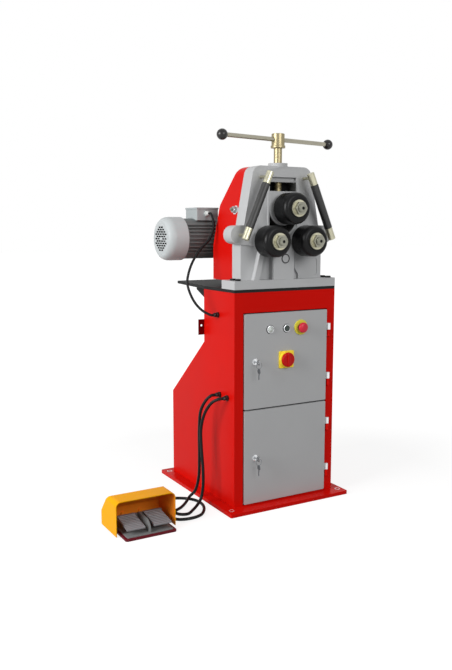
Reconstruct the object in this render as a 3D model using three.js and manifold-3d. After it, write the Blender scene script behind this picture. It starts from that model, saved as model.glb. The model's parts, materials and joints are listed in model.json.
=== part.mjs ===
// A ring roller: three shafts with rollers in a cast head, driven by a geared motor, on a sheet cabinet.
// Millimetres, +Z up, the front faces -Y. The origin is the middle of the base plate's underside.

import * as THREE from 'three';
import { mergeVertices } from 'three/addons/utils/BufferGeometryUtils.js';
import Module from 'manifold-3d';

const wasm = await Module();
wasm.setup();

// Fits
const seat = 0.3; // gap between pieces that sit on each other
const runningFit = 0.4; // radial play of a shaft in its bore
const cutThrough = 2; // how far a cutter passes the face that it opens
const weld = 1; // how far joined shapes run into each other
const edgeBreak = 1; // small bevel on turned pieces
const wideEdge = 2;

// Base plate
const baseWidth = 560;
const baseDepth = 636;
const baseThickness = 15;
const baseCornerRadius = 6;
const anchorHoleRadius = 8;
const anchorSideInset = 24;
const anchorEndInset = 38;

// Cabinet
const cabinetFront = -263;
const cabinetRear = 281;
const waistRear = -18;
const kneeHeight = 385;
const slantTop = 643;
const cabinetTop = 857;
const sheet = 3;
const lugReach = 27;
const lugFoot = 672;
const lugHeight = 63;
const lugHoleLift = 38;
const lugHoleRadius = 5;

// Top plate and its gussets
const deckThickness = 12;
const deckRear = 318;
const deckRearInset = 45;
const deckBendRear = -20;
const gussetThickness = 8;
const gussetLength = 92;
const gussetHeight = 44;
const gussetTip = 8;
const gussetInset = 18;

// Doors
const doorInsetLeft = 43;
const doorInsetRight = 40.4;
const doorGap = 4;
const doorSplitGap = 6;
const doorProud = 5;
const doorDepth = 16;
const doorSheet = 2;
const doorCornerRadius = 3;
const lowerDoorBottom = 22;
const doorSplit = 400;
const upperDoorTop = 775;
const stopLipWidth = 12;
const stopLipDepth = 11;
const hingeRadius = 6;
const hingeHalfHeight = 27;
const hingePinRadius = 3;
const hingeCap = 3;
const hingeHeights = { lower: [119, 315], upper: [504, 706] };

// Controls on the doors
const controlRow = 711;
const lampX = -78;
const startX = -1.5;
const stopX = 65.5;
const switchX = -3;
const switchHeight = 588;
const bezelRadius = 15.5;
const bezelHeight = 5.5;
const bezelFloor = 1;
const barrelRadius = 11;
const barrelLength = 34;
const lampDomeHeight = 5;
const startCapRadius = 11.5;
const startCapProud = 3;
const startTravel = 3;
const buttonStemRadius = 4;
const stopCollarRadius = 30.5;
const stopCollarHeight = 5;
const stopHeadRadius = 21;
const stopHeadLift = 15;
const stopHeadHeight = 14;
const stopStemRadius = 8;
const stopTravel = 5;
const switchPlateSize = 68;
const switchPlateHeight = 6;
const switchBossRadius = 33;
const switchBossHeight = 7;
const switchKnobRadius = 28.5;
const switchKnobHeight = 9;
const switchKnobEdge = 3;
const switchGripWidth = 13;
const switchGripHeight = 4;
const switchPlateCorner = 5;
const padlockHoleRadius = 4;
const padlockHoleX = -26;
const padlockHoleDrop = 11;
const upperLockX = -146;
const upperLockHeight = 589;
const lowerLockX = -144;
const lowerLockHeight = 207;
const lockRadius = 9;
const lockFlangeRadius = 12;
const lockFlangeHeight = 4;
const lockLength = 19;
const keyShankRadius = 3;
const keyBowWidth = 19;
const keyBowHeight = 24;
const keyThickness = 2.2;
const keyStandOff = 9;
const keyRingHoleRadius = 4;
const camLength = 62;
const camWidth = 14;
const camThickness = 3;

// Inside the cabinet
const shelfThickness = 3;
const shelfLip = 15;
const panelInset = 85;
const panelBottom = 520;
const panelTop = 820;
const panelStandOff = 30;
const panelSpacerRadius = 5;
const railHeight = 35;
const railDepth = 8;
const contactorWidth = 45;
const contactorHeight = 78;
const contactorDepth = 60;
const transformerWidth = 84;
const transformerHeight = 76;
const transformerDepth = 72;

// Head casting, heights from the top plate
const headHalfWidth = 188;
const flangeMargin = 47;
const flangeHeight = 33;
const headTopHalfWidth = 130;
const shoulderHeight = 161;
const headHeight = 467;
const headFront = -228;
const headRear = -164;
const headTopRadius = 38;
const headShoulderRadius = 90;
const earOverhang = 12;
const earHeight = 206;
const earRadius = 35;
const earFront = -235;
const earRear = -176;
const earRootX = 118;
const earRootRise = 38;
const earRootDrop = 46;
const slotHalfWidth = 64;
const slotTop = 426;
const lintelFoot = 407;
const lintelDepth = 14;
const lintelCorner = 14;
const slotRearWall = 12;
const rimWidth = 6;
const rimProud = 8;
const rimBottom = 239;
const rimTop = 399;
const screwBossRadius = 38;
const screwBossHeight = 13;
const reliefProud = 24;
const columnLeft = -50;
const columnRight = 42;
const columnTop = 175;
const ribTop = 150;
const ribFootOuter = -142;
const ribFootInner = -118;
const ribHeadOuter = -112;
const ribHeadInner = -92;
const pocketDepth = 11;
const pocketTop = 160;
const channelTopRight = 60;
const channelFootRight = 78;
const channelKneeLow = 50;
const channelKneeHigh = 78;
const channelRound = 12;
const panelRecessLeft = 92;
const panelRecessRight = 170;
const panelRecessTop = 112;
const panelRecessFoot = 44;
const panelRecessDepth = 3;
const panelRecessRadius = 12;
const emblemRadius = 19;
const emblemHeight = 113.5;
const emblemProud = 2.5;

// Rollers and shafts
const lowerAxisSpread = 85;
const lowerAxisHeight = 181.5;
const upperAxisHeight = 305;
const rollerRadius = 60;
const rollerFront = -339;
const rollerRear = -256;
const rollerEdgeDepth = 15;
const rollerEdgeLength = 20;
const rollerEdgeSteps = 3;
const rollerRearEdge = 2;
const shaftRadius = 15;
const shaftCollarRadius = 21;
const shaftRearReach = 10;
const centreHoleRadius = 4.5;
const centreHoleDepth = 8;
const centreHolePoint = 3;
const washerRadius = 32;
const washerThickness = 6;
const nutCollarRadius = 25;
const nutCollarThickness = 4;
const nutAcross = 46;
const nutHeight = 12;
const threadEndReach = 9;
const bearingBossRadius = 46;

// Press slide and screw
const travelDown = 36;
const slideTopAboveAxis = 67;
const slideProud = 9;
const slideBearingWidth = 14;
const screwAxisY = -193;
const screwRadius = 16;
const screwJournalRadius = 11;
const screwJournalDepth = 14;
const screwShoulderRadius = 14.5;
const screwShoulderLift = 12;
const screwHubFoot = 538;
const screwCollarRadius = 28.5;
const screwCollarHeight = 10;
const screwHubRadius = 25.5;
const screwHubHeight = 45;
const tommyBarRadius = 8.5;
const tommyBarSpan = 560;
const tommyBarTurn = 10;
const knobRadius = 20.5;
const knobSteps = 8;
const knobBoreDepth = 14;

// Gear train
const gearModule = 4;
const driveTeeth = 36;
const pinionTeeth = 15;
const gearFront = -150;
const gearWidth = 30;
const gearHubRadius = 28;
const gearHubLength = 12;
const gearWebRadius = 58;
const gearWebRecess = 8;
const toothBacklash = 0.5;
const addendumShare = 0.85;
const dedendumShare = 1.2;
const pressureAngle = 20;
const pinionShaftRadius = 12.5;
const pinionFrontSeat = 12;

// Gear cover
const coverRear = -11;
const coverWall = 5;
const coverFoot = 27;
const coverBendHeight = 320;
const coverBendRadius = 40;
const coverTopRear = -113;
const coverTopRadius = 16;
const coverBossRadius = 26;
const coverBossLength = 18;
const coverTabHeight = 300;
const coverTabSize = 34;
const coverTabLength = 33;

// Geared motor
const wormCentres = 63;
const gearboxHalfWidth = 72;
const gearboxFront = 42;
const gearboxRear = 154;
const gearboxBelow = 70;
const gearboxAbove = 104;
const gearboxCornerRadius = 26;
const gearboxSpigotRadius = 56;
const gearboxRimRadius = 60;
const gearboxRimThickness = 8;
const motorFlangeRadius = 80;
const motorFlangeThickness = 12;
const motorBodyLength = 199;
const motorShellRadius = 82;
const motorRootRadius = 74;
const motorFinRadius = 86;
const motorFinCount = 9;
const motorFinThickness = 3.2;
const motorFinArc = 84;
const motorArcSteps = 4;
const motorArcShare = 0.9;
const endShieldLength = 14;
const fanCoverRadius = 88;
const fanCoverFaceRadius = 72;
const fanCoverLength = 85;
const fanCoverChamfer = 34;
const fanCoverShoulder = 4;
const fanCoverWall = 2;
const fanCoverLap = 10;
const grilleRowPitch = 14;
const grilleSlotHeight = 7;
const grilleSlotLength = 22;
const grilleSlotPitch = 28;
const grilleRadius = 62;
const fanRadius = 66;
const fanHubRadius = 17;
const fanWidth = 24;
const fanBlades = 8;
const fanBladeThickness = 2.5;
const fanShaftRadius = 8;
const fanFaceGap = 16;
const terminalLeft = -230;
const terminalRight = -134;
const terminalHalfDepth = 51;
const terminalHeight = 44;
const terminalLid = 6;
const terminalLidLip = 2;

// Side guide rollers
const guidePlane = -283;
const guideUpperInset = 31;
const guideUpperHeight = 423;
const guideLowerOverhang = 6;
const guideLowerHeight = 205;
const guideOverUpper = 19;
const guideUnder = 19;
const guideCapRadius = 14.5;
const guideAxleRadius = 8;
const guideSleeveRadius = 15.5;
const guideSleeveLength = 180;
const guidePinRadius = 6;
const guidePinDepth = 30;
const guideEdge = 1.5;

// Bolts
const boltHeadAcross = 22;
const boltHeadHeight = 7;
const boltShankRadius = 6.5;
const boltStripWidth = 24;
const boltStripThickness = 10;
const flangeBoltInsetX = 24;
const flangeBoltInsetFront = 16;
const flangeBoltPitch = 38;
const coverBoltAcross = 24;
const coverBoltHeight = 12;
const coverWasherRadius = 17.5;
const coverWasherThickness = 4;
const coverStudEnd = 9;
const coverBoltRadius = 6;
const coverBoltLength = 20;

// Foot switch
const pedalStandOff = 378;
const pedalBaseWidth = 200;
const pedalBaseFront = -327;
const pedalBaseRear = -101;
const pedalBaseThickness = 8;
const pedalBaseRadius = 10;
const pedalDeckInset = 9;
const pedalDeckThickness = 3;
const pedalDeckRadius = 6;
const guardWidth = 236;
const guardFront = -277;
const guardTopRear = -192;
const guardRear = -128;
const guardHeight = 132;
const guardKink = 58;
const guardWall = 3;
const guardRadius = 20;
const guardFoot = 3;
const guardEarFront = -240;
const guardEarRear = -145;
const treadWidth = 70;
const treadSpread = 52;
const treadFront = -306;
const treadRear = -200;
const treadFrontHeight = 36;
const treadRearHeight = 52;
const treadThickness = 7;
const treadRibs = 9;
const treadRibHeight = 1.6;
const treadRibInset = 2;
const treadSleeveRadius = 7;
const pivotRadius = 4;
const pivotHeight = 40;
const pivotY = -196;
const pivotWall = 8;
const pivotRound = 7;
const dividerThickness = 7;
const dividerFront = -312;
const dividerRear = -205;
const dividerHeight = 54;

// Cables and their glands
const pedalCableRadius = 6;
const motorCableRadius = 5;
const glandHexAcross = 20;
const glandHexLength = 8;
const glandNoseLength = 15;
const glandNoseRadius = 8.5;
const glandTipShare = 0.75;
const glandStubRadius = 7;
const glandStubLength = 8;
const cableSides = 8;
const cableStepDiameters = 3;
const motorGlandY = -137;
const motorGlandHeight = 764;
const terminalGlandX = -188;
const terminalGlandLift = 20;
const leftGlandY = -151;
const leftGlandHeight = 449;
const rightGlandY = -212;
const rightGlandHeight = 446;
const pedalGlandSpread = 35;
const floorLift = 0.6;
const pedalGlandHeight = 30;

// Degrees of half a turn
const halfTurn = 180;

// Curve steps
const wideSides = 32;
const roundSides = 18;
const smallSides = 10;
const slotSteps = 16;

// Values that follow from the sizes above
const cabinetHalfWidth = headHalfWidth + flangeMargin;
const flangeHalfWidth = cabinetHalfWidth;
const doorLeft = doorInsetLeft - cabinetHalfWidth;
const doorRight = cabinetHalfWidth - doorInsetRight;
const panelHalfWidth = cabinetHalfWidth - panelInset;
const deckRearHalfWidth = cabinetHalfWidth - deckRearInset;
const gussetHalfSpan = cabinetHalfWidth - gussetInset;
const earX = headHalfWidth + earOverhang;
const guideUpper = [headTopHalfWidth - guideUpperInset, guideUpperHeight];
const guideLower = [headHalfWidth + guideLowerOverhang, guideLowerHeight];
const pedalX = -cabinetHalfWidth - pedalStandOff;
const pedalGlandXs = [pedalX - pedalGlandSpread, pedalX + pedalGlandSpread];
const deckHeight = cabinetTop + deckThickness;
const doorFace = cabinetFront - doorProud;
const slotRear = headRear - slotRearWall;
const reliefFront = headFront - reliefProud;
const driveRadius = (gearModule * driveTeeth) / 2;
const pinionRadius = (gearModule * pinionTeeth) / 2;
const gearCentres = driveRadius + pinionRadius;
const pinionHeight = lowerAxisHeight - Math.sqrt(gearCentres ** 2 - lowerAxisSpread ** 2);
const gearboxY = (gearboxFront + gearboxRear) / 2;
const motorHeight = pinionHeight + wormCentres;
const motorBodyStart = -gearboxHalfWidth - motorFlangeThickness * 2;
const motorBodyEnd = motorBodyStart - motorBodyLength;
const fanCoverEnd = motorBodyEnd - fanCoverLength + fanCoverLap;
const shaftFront = rollerFront - seat - washerThickness - nutCollarThickness - nutHeight - threadEndReach;
const glandReach = glandHexLength + glandNoseLength + seat;

// Finishes
function finish(color, roughness, metalness) {
  return new THREE.MeshStandardMaterial({ color, roughness, metalness });
}
const finishes = {
  redPaint: () => finish(0xd2201a, 0.35, 0),
  greyPaint: () => finish(0x9b9d9d, 0.45, 0),
  castPaint: () => finish(0xa3a5a5, 0.5, 0),
  darkPlate: () => finish(0x3d4141, 0.5, 0.2),
  blackSteel: () => finish(0x1c1c1d, 0.35, 0.6),
  zinc: () => finish(0xcfc49a, 0.35, 0.9),
  nickel: () => finish(0xc0bca6, 0.25, 0.95),
  steel: () => finish(0xb4b6b8, 0.3, 0.95),
  blackPlastic: () => finish(0x161616, 0.4, 0),
  redPlastic: () => finish(0xcf1f2c, 0.35, 0),
  yellowPlastic: () => finish(0xf0c81e, 0.4, 0),
  guardYellow: () => finish(0xf2a81d, 0.4, 0),
  pedalGrey: () => finish(0x8d9092, 0.5, 0.1),
  lightAlloy: () => finish(0xcfd1d1, 0.45, 0.3),
  motorGrey: () => finish(0x6f7274, 0.5, 0.2),
  rubber: () => finish(0x1a1c1c, 0.6, 0),
  panelZinc: () => finish(0xc8ccc8, 0.4, 0.6),
};

// Solids from three.js geometries, and back
function solid(geometry) {
  const bare = new THREE.BufferGeometry();
  bare.setAttribute('position', geometry.getAttribute('position'));
  bare.setIndex(geometry.getIndex());
  const merged = mergeVertices(bare, 1e-4);
  const corners = Array.from(merged.getIndex().array);
  const kept = [];
  for (let i = 0; i < corners.length; i += 3) {
    const [a, b, c] = corners.slice(i, i + 3);
    if (a !== b && b !== c && c !== a) kept.push(a, b, c);
  }
  const vertProperties = merged.getAttribute('position').array;
  const triVerts = Uint32Array.from(kept);
  const body = new wasm.Manifold(new wasm.Mesh({ numProp: 3, vertProperties, triVerts }));
  if (body.volume() > 0) return body;
  const flipped = triVerts.map((_, i) => triVerts[i - (i % 3) + (2 - (i % 3))]);
  return new wasm.Manifold(new wasm.Mesh({ numProp: 3, vertProperties, triVerts: flipped }));
}

function surface(body) {
  const { vertProperties, triVerts } = body.getMesh();
  const geometry = new THREE.BufferGeometry();
  geometry.setAttribute('position', new THREE.BufferAttribute(vertProperties, 3));
  geometry.setIndex(new THREE.BufferAttribute(triVerts, 1));
  geometry.computeVertexNormals();
  return geometry;
}

function join(...bodies) {
  return bodies.reduce((whole, body) => whole.add(body));
}

function cut(body, ...cutters) {
  return cutters.reduce((rest, cutter) => rest.subtract(cutter), body);
}

// A block between two corners
function block(x0, x1, y0, y1, z0, z1) {
  const geometry = new THREE.BoxGeometry(x1 - x0, y1 - y0, z1 - z0);
  return solid(geometry.translate((x0 + x1) / 2, (y0 + y1) / 2, (z0 + z1) / 2));
}

// A closed outline through its corners; a third number rounds that corner
function outline(corners) {
  const shape = new THREE.Shape();
  corners.forEach(([x, y, radius = 0], index) => {
    const corner = new THREE.Vector2(x, y);
    const back = new THREE.Vector2(...corners.at(index - 1)).sub(corner).normalize();
    const ahead = new THREE.Vector2(...corners[(index + 1) % corners.length]).sub(corner).normalize();
    if (radius === 0) {
      if (index === 0) shape.moveTo(x, y);
      else shape.lineTo(x, y);
      return;
    }
    const halfAngle = Math.acos(back.dot(ahead)) / 2;
    const start = corner.clone().addScaledVector(back, radius / Math.tan(halfAngle));
    const end = corner.clone().addScaledVector(ahead, radius / Math.tan(halfAngle));
    const inward = back.clone().add(ahead).normalize();
    const centre = corner.clone().addScaledVector(inward, radius / Math.sin(halfAngle));
    const from = Math.atan2(start.y - centre.y, start.x - centre.x);
    const to = Math.atan2(end.y - centre.y, end.x - centre.x);
    shape.absarc(centre.x, centre.y, radius, from, to, back.cross(ahead) > 0);
  });
  return shape;
}

function rectangle(x0, x1, y0, y1, radius = 0) {
  return outline([[x0, y0, radius], [x1, y0, radius], [x1, y1, radius], [x0, y1, radius]]);
}

function disc(x, y, radius) {
  const shape = new THREE.Shape();
  shape.absarc(x, y, radius, 0, Math.PI * 2);
  return shape;
}

function hexagon(x, y, across) {
  const reach = across / Math.sqrt(3);
  const corners = [0, 1, 2, 3, 4, 5].map((step) => {
    const angle = (step * Math.PI) / 3;
    return [x + reach * Math.cos(angle), y + reach * Math.sin(angle)];
  });
  return outline(corners);
}

// Extrusions of an outline: drawn from above, from the front (x, z) or from the side (y, z)
function extrude(shape, depth, curveSegments) {
  return new THREE.ExtrudeGeometry(shape, { depth, bevelEnabled: false, curveSegments });
}

function fromAbove(shape, z0, z1, steps = 3) {
  return solid(extrude(shape, z1 - z0, steps).translate(0, 0, z0));
}

function fromFront(shape, y0, y1, steps = 3) {
  return solid(extrude(shape, y1 - y0, steps).rotateX(Math.PI / 2).translate(0, y1, 0));
}

function fromSide(shape, x0, x1, steps = 3) {
  const axes = [new THREE.Vector3(0, 1, 0), new THREE.Vector3(0, 0, 1), new THREE.Vector3(1, 0, 0)];
  const turn = new THREE.Matrix4().makeBasis(...axes);
  return solid(extrude(shape, x1 - x0, steps).applyMatrix4(turn).translate(x0, 0, 0));
}

// A turned solid about the Y axis, from [radius, y] corners that start and end on the axis
function turned(profile, sides = roundSides) {
  const points = profile.map(([radius, y]) => new THREE.Vector2(radius, y));
  return solid(new THREE.LatheGeometry(points, sides));
}

// A turned ring about the Y axis, from a closed [radius, y] profile
function ring(profile, sides = roundSides) {
  return turned([...profile, profile[0]], sides);
}

function rod(radius, y0, y1, sides = roundSides) {
  return turned([[0, y0], [radius, y0], [radius, y1], [0, y1]], sides);
}

function tube(inner, outer, y0, y1, sides = roundSides) {
  return ring([[inner, y0], [outer, y0], [outer, y1], [inner, y1]], sides);
}

function at(body, x, y, z) {
  return body.translate([x, y, z]);
}

// A body turned about Y stood upright, or laid along X
function upright(body) {
  return body.rotate([90, 0, 0]);
}

function alongX(body) {
  return body.rotate([0, 0, -90]);
}

function mirrored(body) {
  return body.mirror([1, 0, 0]);
}

// The machine and its groups
const machine = new THREE.Group();
const head = new THREE.Group();
head.position.z = deckHeight;
machine.add(head);

function add(parent, name, body, material) {
  const mesh = new THREE.Mesh(surface(body), material());
  mesh.name = name;
  parent.add(mesh);
  return mesh;
}

function addAt(parent, name, body, material, x, y, z) {
  const mesh = add(parent, name, body, material);
  mesh.position.set(x, y, z);
  return mesh;
}

// Base plate with four anchor holes
function basePlate() {
  const halfWidth = baseWidth / 2;
  const halfDepth = baseDepth / 2;
  const plate = rectangle(-halfWidth, halfWidth, -halfDepth, halfDepth, baseCornerRadius);
  for (const sideways of [-1, 1]) {
    for (const lengthways of [-1, 1]) {
      const x = sideways * (halfWidth - anchorSideInset);
      const y = lengthways * (halfDepth - anchorEndInset);
      plate.holes.push(disc(x, y, anchorHoleRadius));
    }
  }
  return fromAbove(plate, 0, baseThickness);
}

// Side view of the cabinet: deep at the foot, slanted in to the waist
function cabinetSide(inset) {
  const slant = Math.atan2(slantTop - kneeHeight, cabinetRear - waistRear);
  const drop = inset * Math.tan(slant / 2);
  return {
    knee: [cabinetRear - inset, kneeHeight - drop],
    waist: [waistRear - inset, slantTop - drop],
  };
}

// One side of the cabinet
function sidePanel(side) {
  const { knee, waist } = cabinetSide(0);
  const front = cabinetFront + sheet;
  const shape = outline([
    [front, baseThickness],
    [cabinetRear, baseThickness],
    knee,
    waist,
    [waistRear, cabinetTop],
    [front, cabinetTop],
  ]);
  const outer = side * cabinetHalfWidth;
  const inner = side * (cabinetHalfWidth - sheet);
  return fromSide(shape, Math.min(outer, inner), Math.max(outer, inner));
}

// Fixing lug: the back sheet's edge carried out past the left side
function rearLug() {
  const tip = -cabinetHalfWidth - lugReach;
  const shape = rectangle(tip, -cabinetHalfWidth + sheet, lugFoot, lugFoot + lugHeight);
  shape.holes.push(disc(tip + lugReach / 2, lugFoot + lugHoleLift, lugHoleRadius));
  return fromFront(shape, waistRear - sheet, waistRear);
}

function backPanel() {
  const outer = cabinetSide(0);
  const inner = cabinetSide(sheet);
  const shape = outline([
    [cabinetRear - sheet, baseThickness],
    [cabinetRear, baseThickness],
    outer.knee,
    outer.waist,
    [waistRear, cabinetTop],
    [waistRear - sheet, cabinetTop],
    inner.waist,
    inner.knee,
  ]);
  const half = cabinetHalfWidth - sheet + weld;
  return fromSide(shape, -half, half);
}

// Shelf between the two compartments, turned up at the rear
function shelf() {
  const { knee } = cabinetSide(sheet);
  const slope = (waistRear - cabinetRear) / (slantTop - kneeHeight);
  const rear = knee[0] + slope * (doorSplit + shelfLip - knee[1]) + sheet / 2;
  const half = cabinetHalfWidth - sheet + weld;
  const front = cabinetFront + stopLipDepth + doorSheet + seat;
  const foot = doorSplit - shelfThickness;
  const tray = block(-half, half, front, rear, foot, doorSplit);
  const lip = block(-half, half, rear - shelfThickness, rear, foot, doorSplit + shelfLip);
  return join(tray, lip);
}

// Folded sides and back with the shelf and lug welded in, pierced on the left for three cable glands
function cabinetShell() {
  const hole = alongX(rod(glandStubRadius + seat, -sheet - cutThrough, sheet + cutThrough, smallSides));
  const holes = cabinetGlands.map(([, y, z]) => at(hole, -cabinetHalfWidth + sheet / 2, y, z));
  return cut(join(sidePanel(-1), sidePanel(1), backPanel(), shelf(), rearLug()), ...holes);
}

const cabinetGlands = [
  ['motor_cable_gland', motorGlandY, motorGlandHeight],
  ['left_pedal_gland', leftGlandY, leftGlandHeight],
  ['right_pedal_gland', rightGlandY, rightGlandHeight],
];

// Front sheet with one door opening, its stop lip and the lower halves of the hinges
function frontFrame() {
  const openLeft = doorLeft - doorGap;
  const openRight = doorRight + doorGap;
  const openFoot = lowerDoorBottom - doorGap;
  const openTop = upperDoorTop + doorGap;
  const face = rectangle(-cabinetHalfWidth, cabinetHalfWidth, baseThickness, cabinetTop);
  face.holes.push(rectangle(openLeft, openRight, openFoot, openTop));
  const sheetRear = cabinetFront + sheet;
  const lipFace = cabinetFront + stopLipDepth;
  const round = [openLeft - doorSheet, openRight + doorSheet, openFoot - doorSheet, openTop + doorSheet];
  const well = rectangle(...round);
  well.holes.push(rectangle(openLeft, openRight, openFoot, openTop));
  const lip = rectangle(...round);
  const lipLeft = openLeft + stopLipWidth;
  const lipRight = openRight - stopLipWidth;
  const railHalf = (stopLipWidth + doorSplitGap) / 2;
  lip.holes.push(rectangle(lipLeft, lipRight, openFoot + stopLipWidth, doorSplit - railHalf));
  lip.holes.push(rectangle(lipLeft, lipRight, doorSplit + railHalf, openTop - stopLipWidth));
  const frame = join(
    fromFront(face, cabinetFront, sheetRear),
    fromFront(well, sheetRear, lipFace),
    fromFront(lip, lipFace, lipFace + doorSheet),
  );
  const hinges = [...hingeHeights.lower, ...hingeHeights.upper].map((height) => hingePost(height));
  return join(frame, ...hinges);
}

const hingeX = doorRight + doorGap + hingeRadius;
const hingeY = cabinetFront - hingeRadius;

// A weld-on hinge: the post and its pin belong to the frame, the capped sleeve above to the door
function hingePost(height) {
  const shoulder = height - hingeHalfHeight / 2;
  const foot = shoulder - hingeHalfHeight;
  const pinTop = shoulder + hingeHalfHeight - hingeCap - seat;
  const post = upright(turned([
    [0, foot],
    [hingeRadius, foot],
    [hingeRadius, shoulder],
    [hingePinRadius, shoulder],
    [hingePinRadius, pinTop],
    [0, pinTop],
  ], smallSides));
  const web = block(-hingePinRadius, hingePinRadius, 0, hingeRadius + weld, foot, shoulder);
  return at(join(post, web), hingeX, hingeY, 0);
}

function hingeSleeve(height) {
  const foot = height - hingeHalfHeight / 2 + seat;
  const top = height + hingeHalfHeight / 2;
  const sleeve = upright(rod(hingeRadius, foot, top, smallSides));
  const reach = doorRight - doorSheet - hingeX;
  const leaf = block(reach, 0, -hingePinRadius, hingePinRadius, foot, top);
  const bore = upright(rod(hingePinRadius + runningFit, foot - cutThrough, top - hingeCap, smallSides));
  return at(cut(join(sleeve, leaf), bore), hingeX, hingeY, 0);
}

// Top plate, drawn in behind the waist, with two gussets welded under its overhang
function topPlate() {
  const shape = outline([
    [-cabinetHalfWidth, cabinetFront],
    [cabinetHalfWidth, cabinetFront],
    [cabinetHalfWidth, deckBendRear],
    [deckRearHalfWidth, deckRear],
    [-deckRearHalfWidth, deckRear],
    [-cabinetHalfWidth, deckBendRear],
  ]);
  const drillRadius = boltShankRadius + runningFit;
  const drill = upright(rod(drillRadius, cabinetTop - cutThrough, deckHeight + cutThrough, smallSides));
  const drills = flangeBoltPlaces().map(([x, y]) => at(drill, x, y, 0));
  const plate = cut(fromAbove(shape, cabinetTop, deckHeight), ...drills);
  const near = waistRear + seat;
  const gusset = outline([
    [near, cabinetTop - gussetHeight],
    [near, cabinetTop + weld],
    [near + gussetLength, cabinetTop + weld],
    [near + gussetLength, cabinetTop - gussetTip],
    [near + gussetTip, cabinetTop - gussetHeight],
  ]);
  const half = gussetThickness / 2;
  const webs = [-gussetHalfSpan, gussetHalfSpan].map((x) => fromSide(gusset, x - half, x + half));
  return join(plate, ...webs);
}

add(machine, 'base_plate', basePlate(), finishes.redPaint);
add(machine, 'cabinet_shell', cabinetShell(), finishes.redPaint);
add(machine, 'front_frame', frontFrame(), finishes.redPaint);
add(machine, 'top_plate', topPlate(), finishes.darkPlate);

// Doors are folded pans, pierced for what they carry, with the hinge sleeves welded on
function doorPan(foot, top, holes, hinges) {
  const rear = doorFace + doorDepth;
  const skin = rectangle(doorLeft, doorRight, foot, top, doorCornerRadius);
  const hollow = rectangle(doorLeft + doorSheet, doorRight - doorSheet, foot + doorSheet, top - doorSheet);
  const pan = cut(
    fromFront(skin, doorFace, rear, 1),
    fromFront(hollow, doorFace + doorSheet, rear + cutThrough),
  );
  const drills = holes.map(([x, z, radius]) => {
    return at(rod(radius + seat, -cutThrough, doorSheet + cutThrough), x, doorFace, z);
  });
  return cut(join(pan, ...hinges.map(hingeSleeve)), ...drills);
}

const upperDoorHoles = [
  [lampX, controlRow, barrelRadius],
  [startX, controlRow, barrelRadius],
  [stopX, controlRow, barrelRadius],
  [switchX, switchHeight, barrelRadius],
  [upperLockX, upperLockHeight, lockRadius],
];
const lowerDoorHoles = [[lowerLockX, lowerLockHeight, lockRadius]];
const upperDoorFoot = doorSplit + doorSplitGap / 2;
const lowerDoorTop = doorSplit - doorSplitGap / 2;
const upperDoor = doorPan(upperDoorFoot, upperDoorTop, upperDoorHoles, hingeHeights.upper);
const lowerDoor = doorPan(lowerDoorBottom, lowerDoorTop, lowerDoorHoles, hingeHeights.lower);
add(machine, 'upper_door', upperDoor, finishes.greyPaint);
add(machine, 'lower_door', lowerDoor, finishes.greyPaint);

// Locks: a barrel through the door; the key turns the cam that catches behind the frame
function lockBarrel() {
  return ring([
    [keyShankRadius + seat, -lockFlangeHeight],
    [lockFlangeRadius, -lockFlangeHeight],
    [lockFlangeRadius, -seat],
    [lockRadius, -seat],
    [lockRadius, lockLength - camThickness],
    [keyShankRadius + seat, lockLength - camThickness],
  ], roundSides);
}

function keyWithCam() {
  const lipRear = stopLipDepth + doorSheet + doorProud;
  const camFront = Math.max(lipRear, lockLength - camThickness) + seat;
  const bowFoot = -lockFlangeHeight - keyStandOff;
  const shank = rod(keyShankRadius, bowFoot, camFront + camThickness, smallSides);
  const half = keyThickness / 2;
  const bow = rectangle(bowFoot - keyBowHeight, bowFoot + weld, -keyBowWidth / 2, keyBowWidth / 2, 6);
  bow.holes.push(disc(bowFoot - keyBowHeight * 0.7, 0, keyRingHoleRadius));
  const cam = rectangle(-camWidth / 2, camWidth / 2, -camLength, camWidth / 2, 4);
  return join(shank, fromSide(bow, -half, half), fromFront(cam, camFront, camFront + camThickness, 1));
}

addAt(machine, 'upper_lock', lockBarrel(), finishes.nickel, upperLockX, doorFace, upperLockHeight);
addAt(machine, 'upper_key', keyWithCam(), finishes.steel, upperLockX, doorFace, upperLockHeight);
addAt(machine, 'lower_lock', lockBarrel(), finishes.nickel, lowerLockX, doorFace, lowerLockHeight);
addAt(machine, 'lower_key', keyWithCam(), finishes.steel, lowerLockX, doorFace, lowerLockHeight);

// Pilot lamp with its dome
function pilotLamp() {
  return turned([
    [0, -bezelHeight - lampDomeHeight],
    [bezelRadius * 0.45, -bezelHeight - lampDomeHeight * 0.85],
    [bezelRadius * 0.75, -bezelHeight - lampDomeHeight * 0.5],
    [bezelRadius * 0.85, -bezelHeight],
    [bezelRadius, -bezelHeight],
    [bezelRadius, -seat],
    [barrelRadius, -seat],
    [barrelRadius, barrelLength],
    [0, barrelLength],
  ], roundSides);
}

function startBezel() {
  return ring([
    [startCapRadius + seat, -bezelHeight],
    [bezelRadius, -bezelHeight],
    [bezelRadius, -seat],
    [barrelRadius, -seat],
    [barrelRadius, barrelLength],
    [buttonStemRadius + seat, barrelLength],
    [buttonStemRadius + seat, -bezelFloor],
    [startCapRadius + seat, -bezelFloor],
  ], roundSides);
}

function startButton() {
  const capBack = -bezelFloor - startTravel - seat;
  return turned([
    [0, -bezelHeight - startCapProud],
    [startCapRadius - edgeBreak, -bezelHeight - startCapProud],
    [startCapRadius, -bezelHeight - startCapProud + edgeBreak],
    [startCapRadius, capBack],
    [buttonStemRadius, capBack],
    [buttonStemRadius, barrelLength - startTravel],
    [0, barrelLength - startTravel],
  ], roundSides);
}

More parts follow.
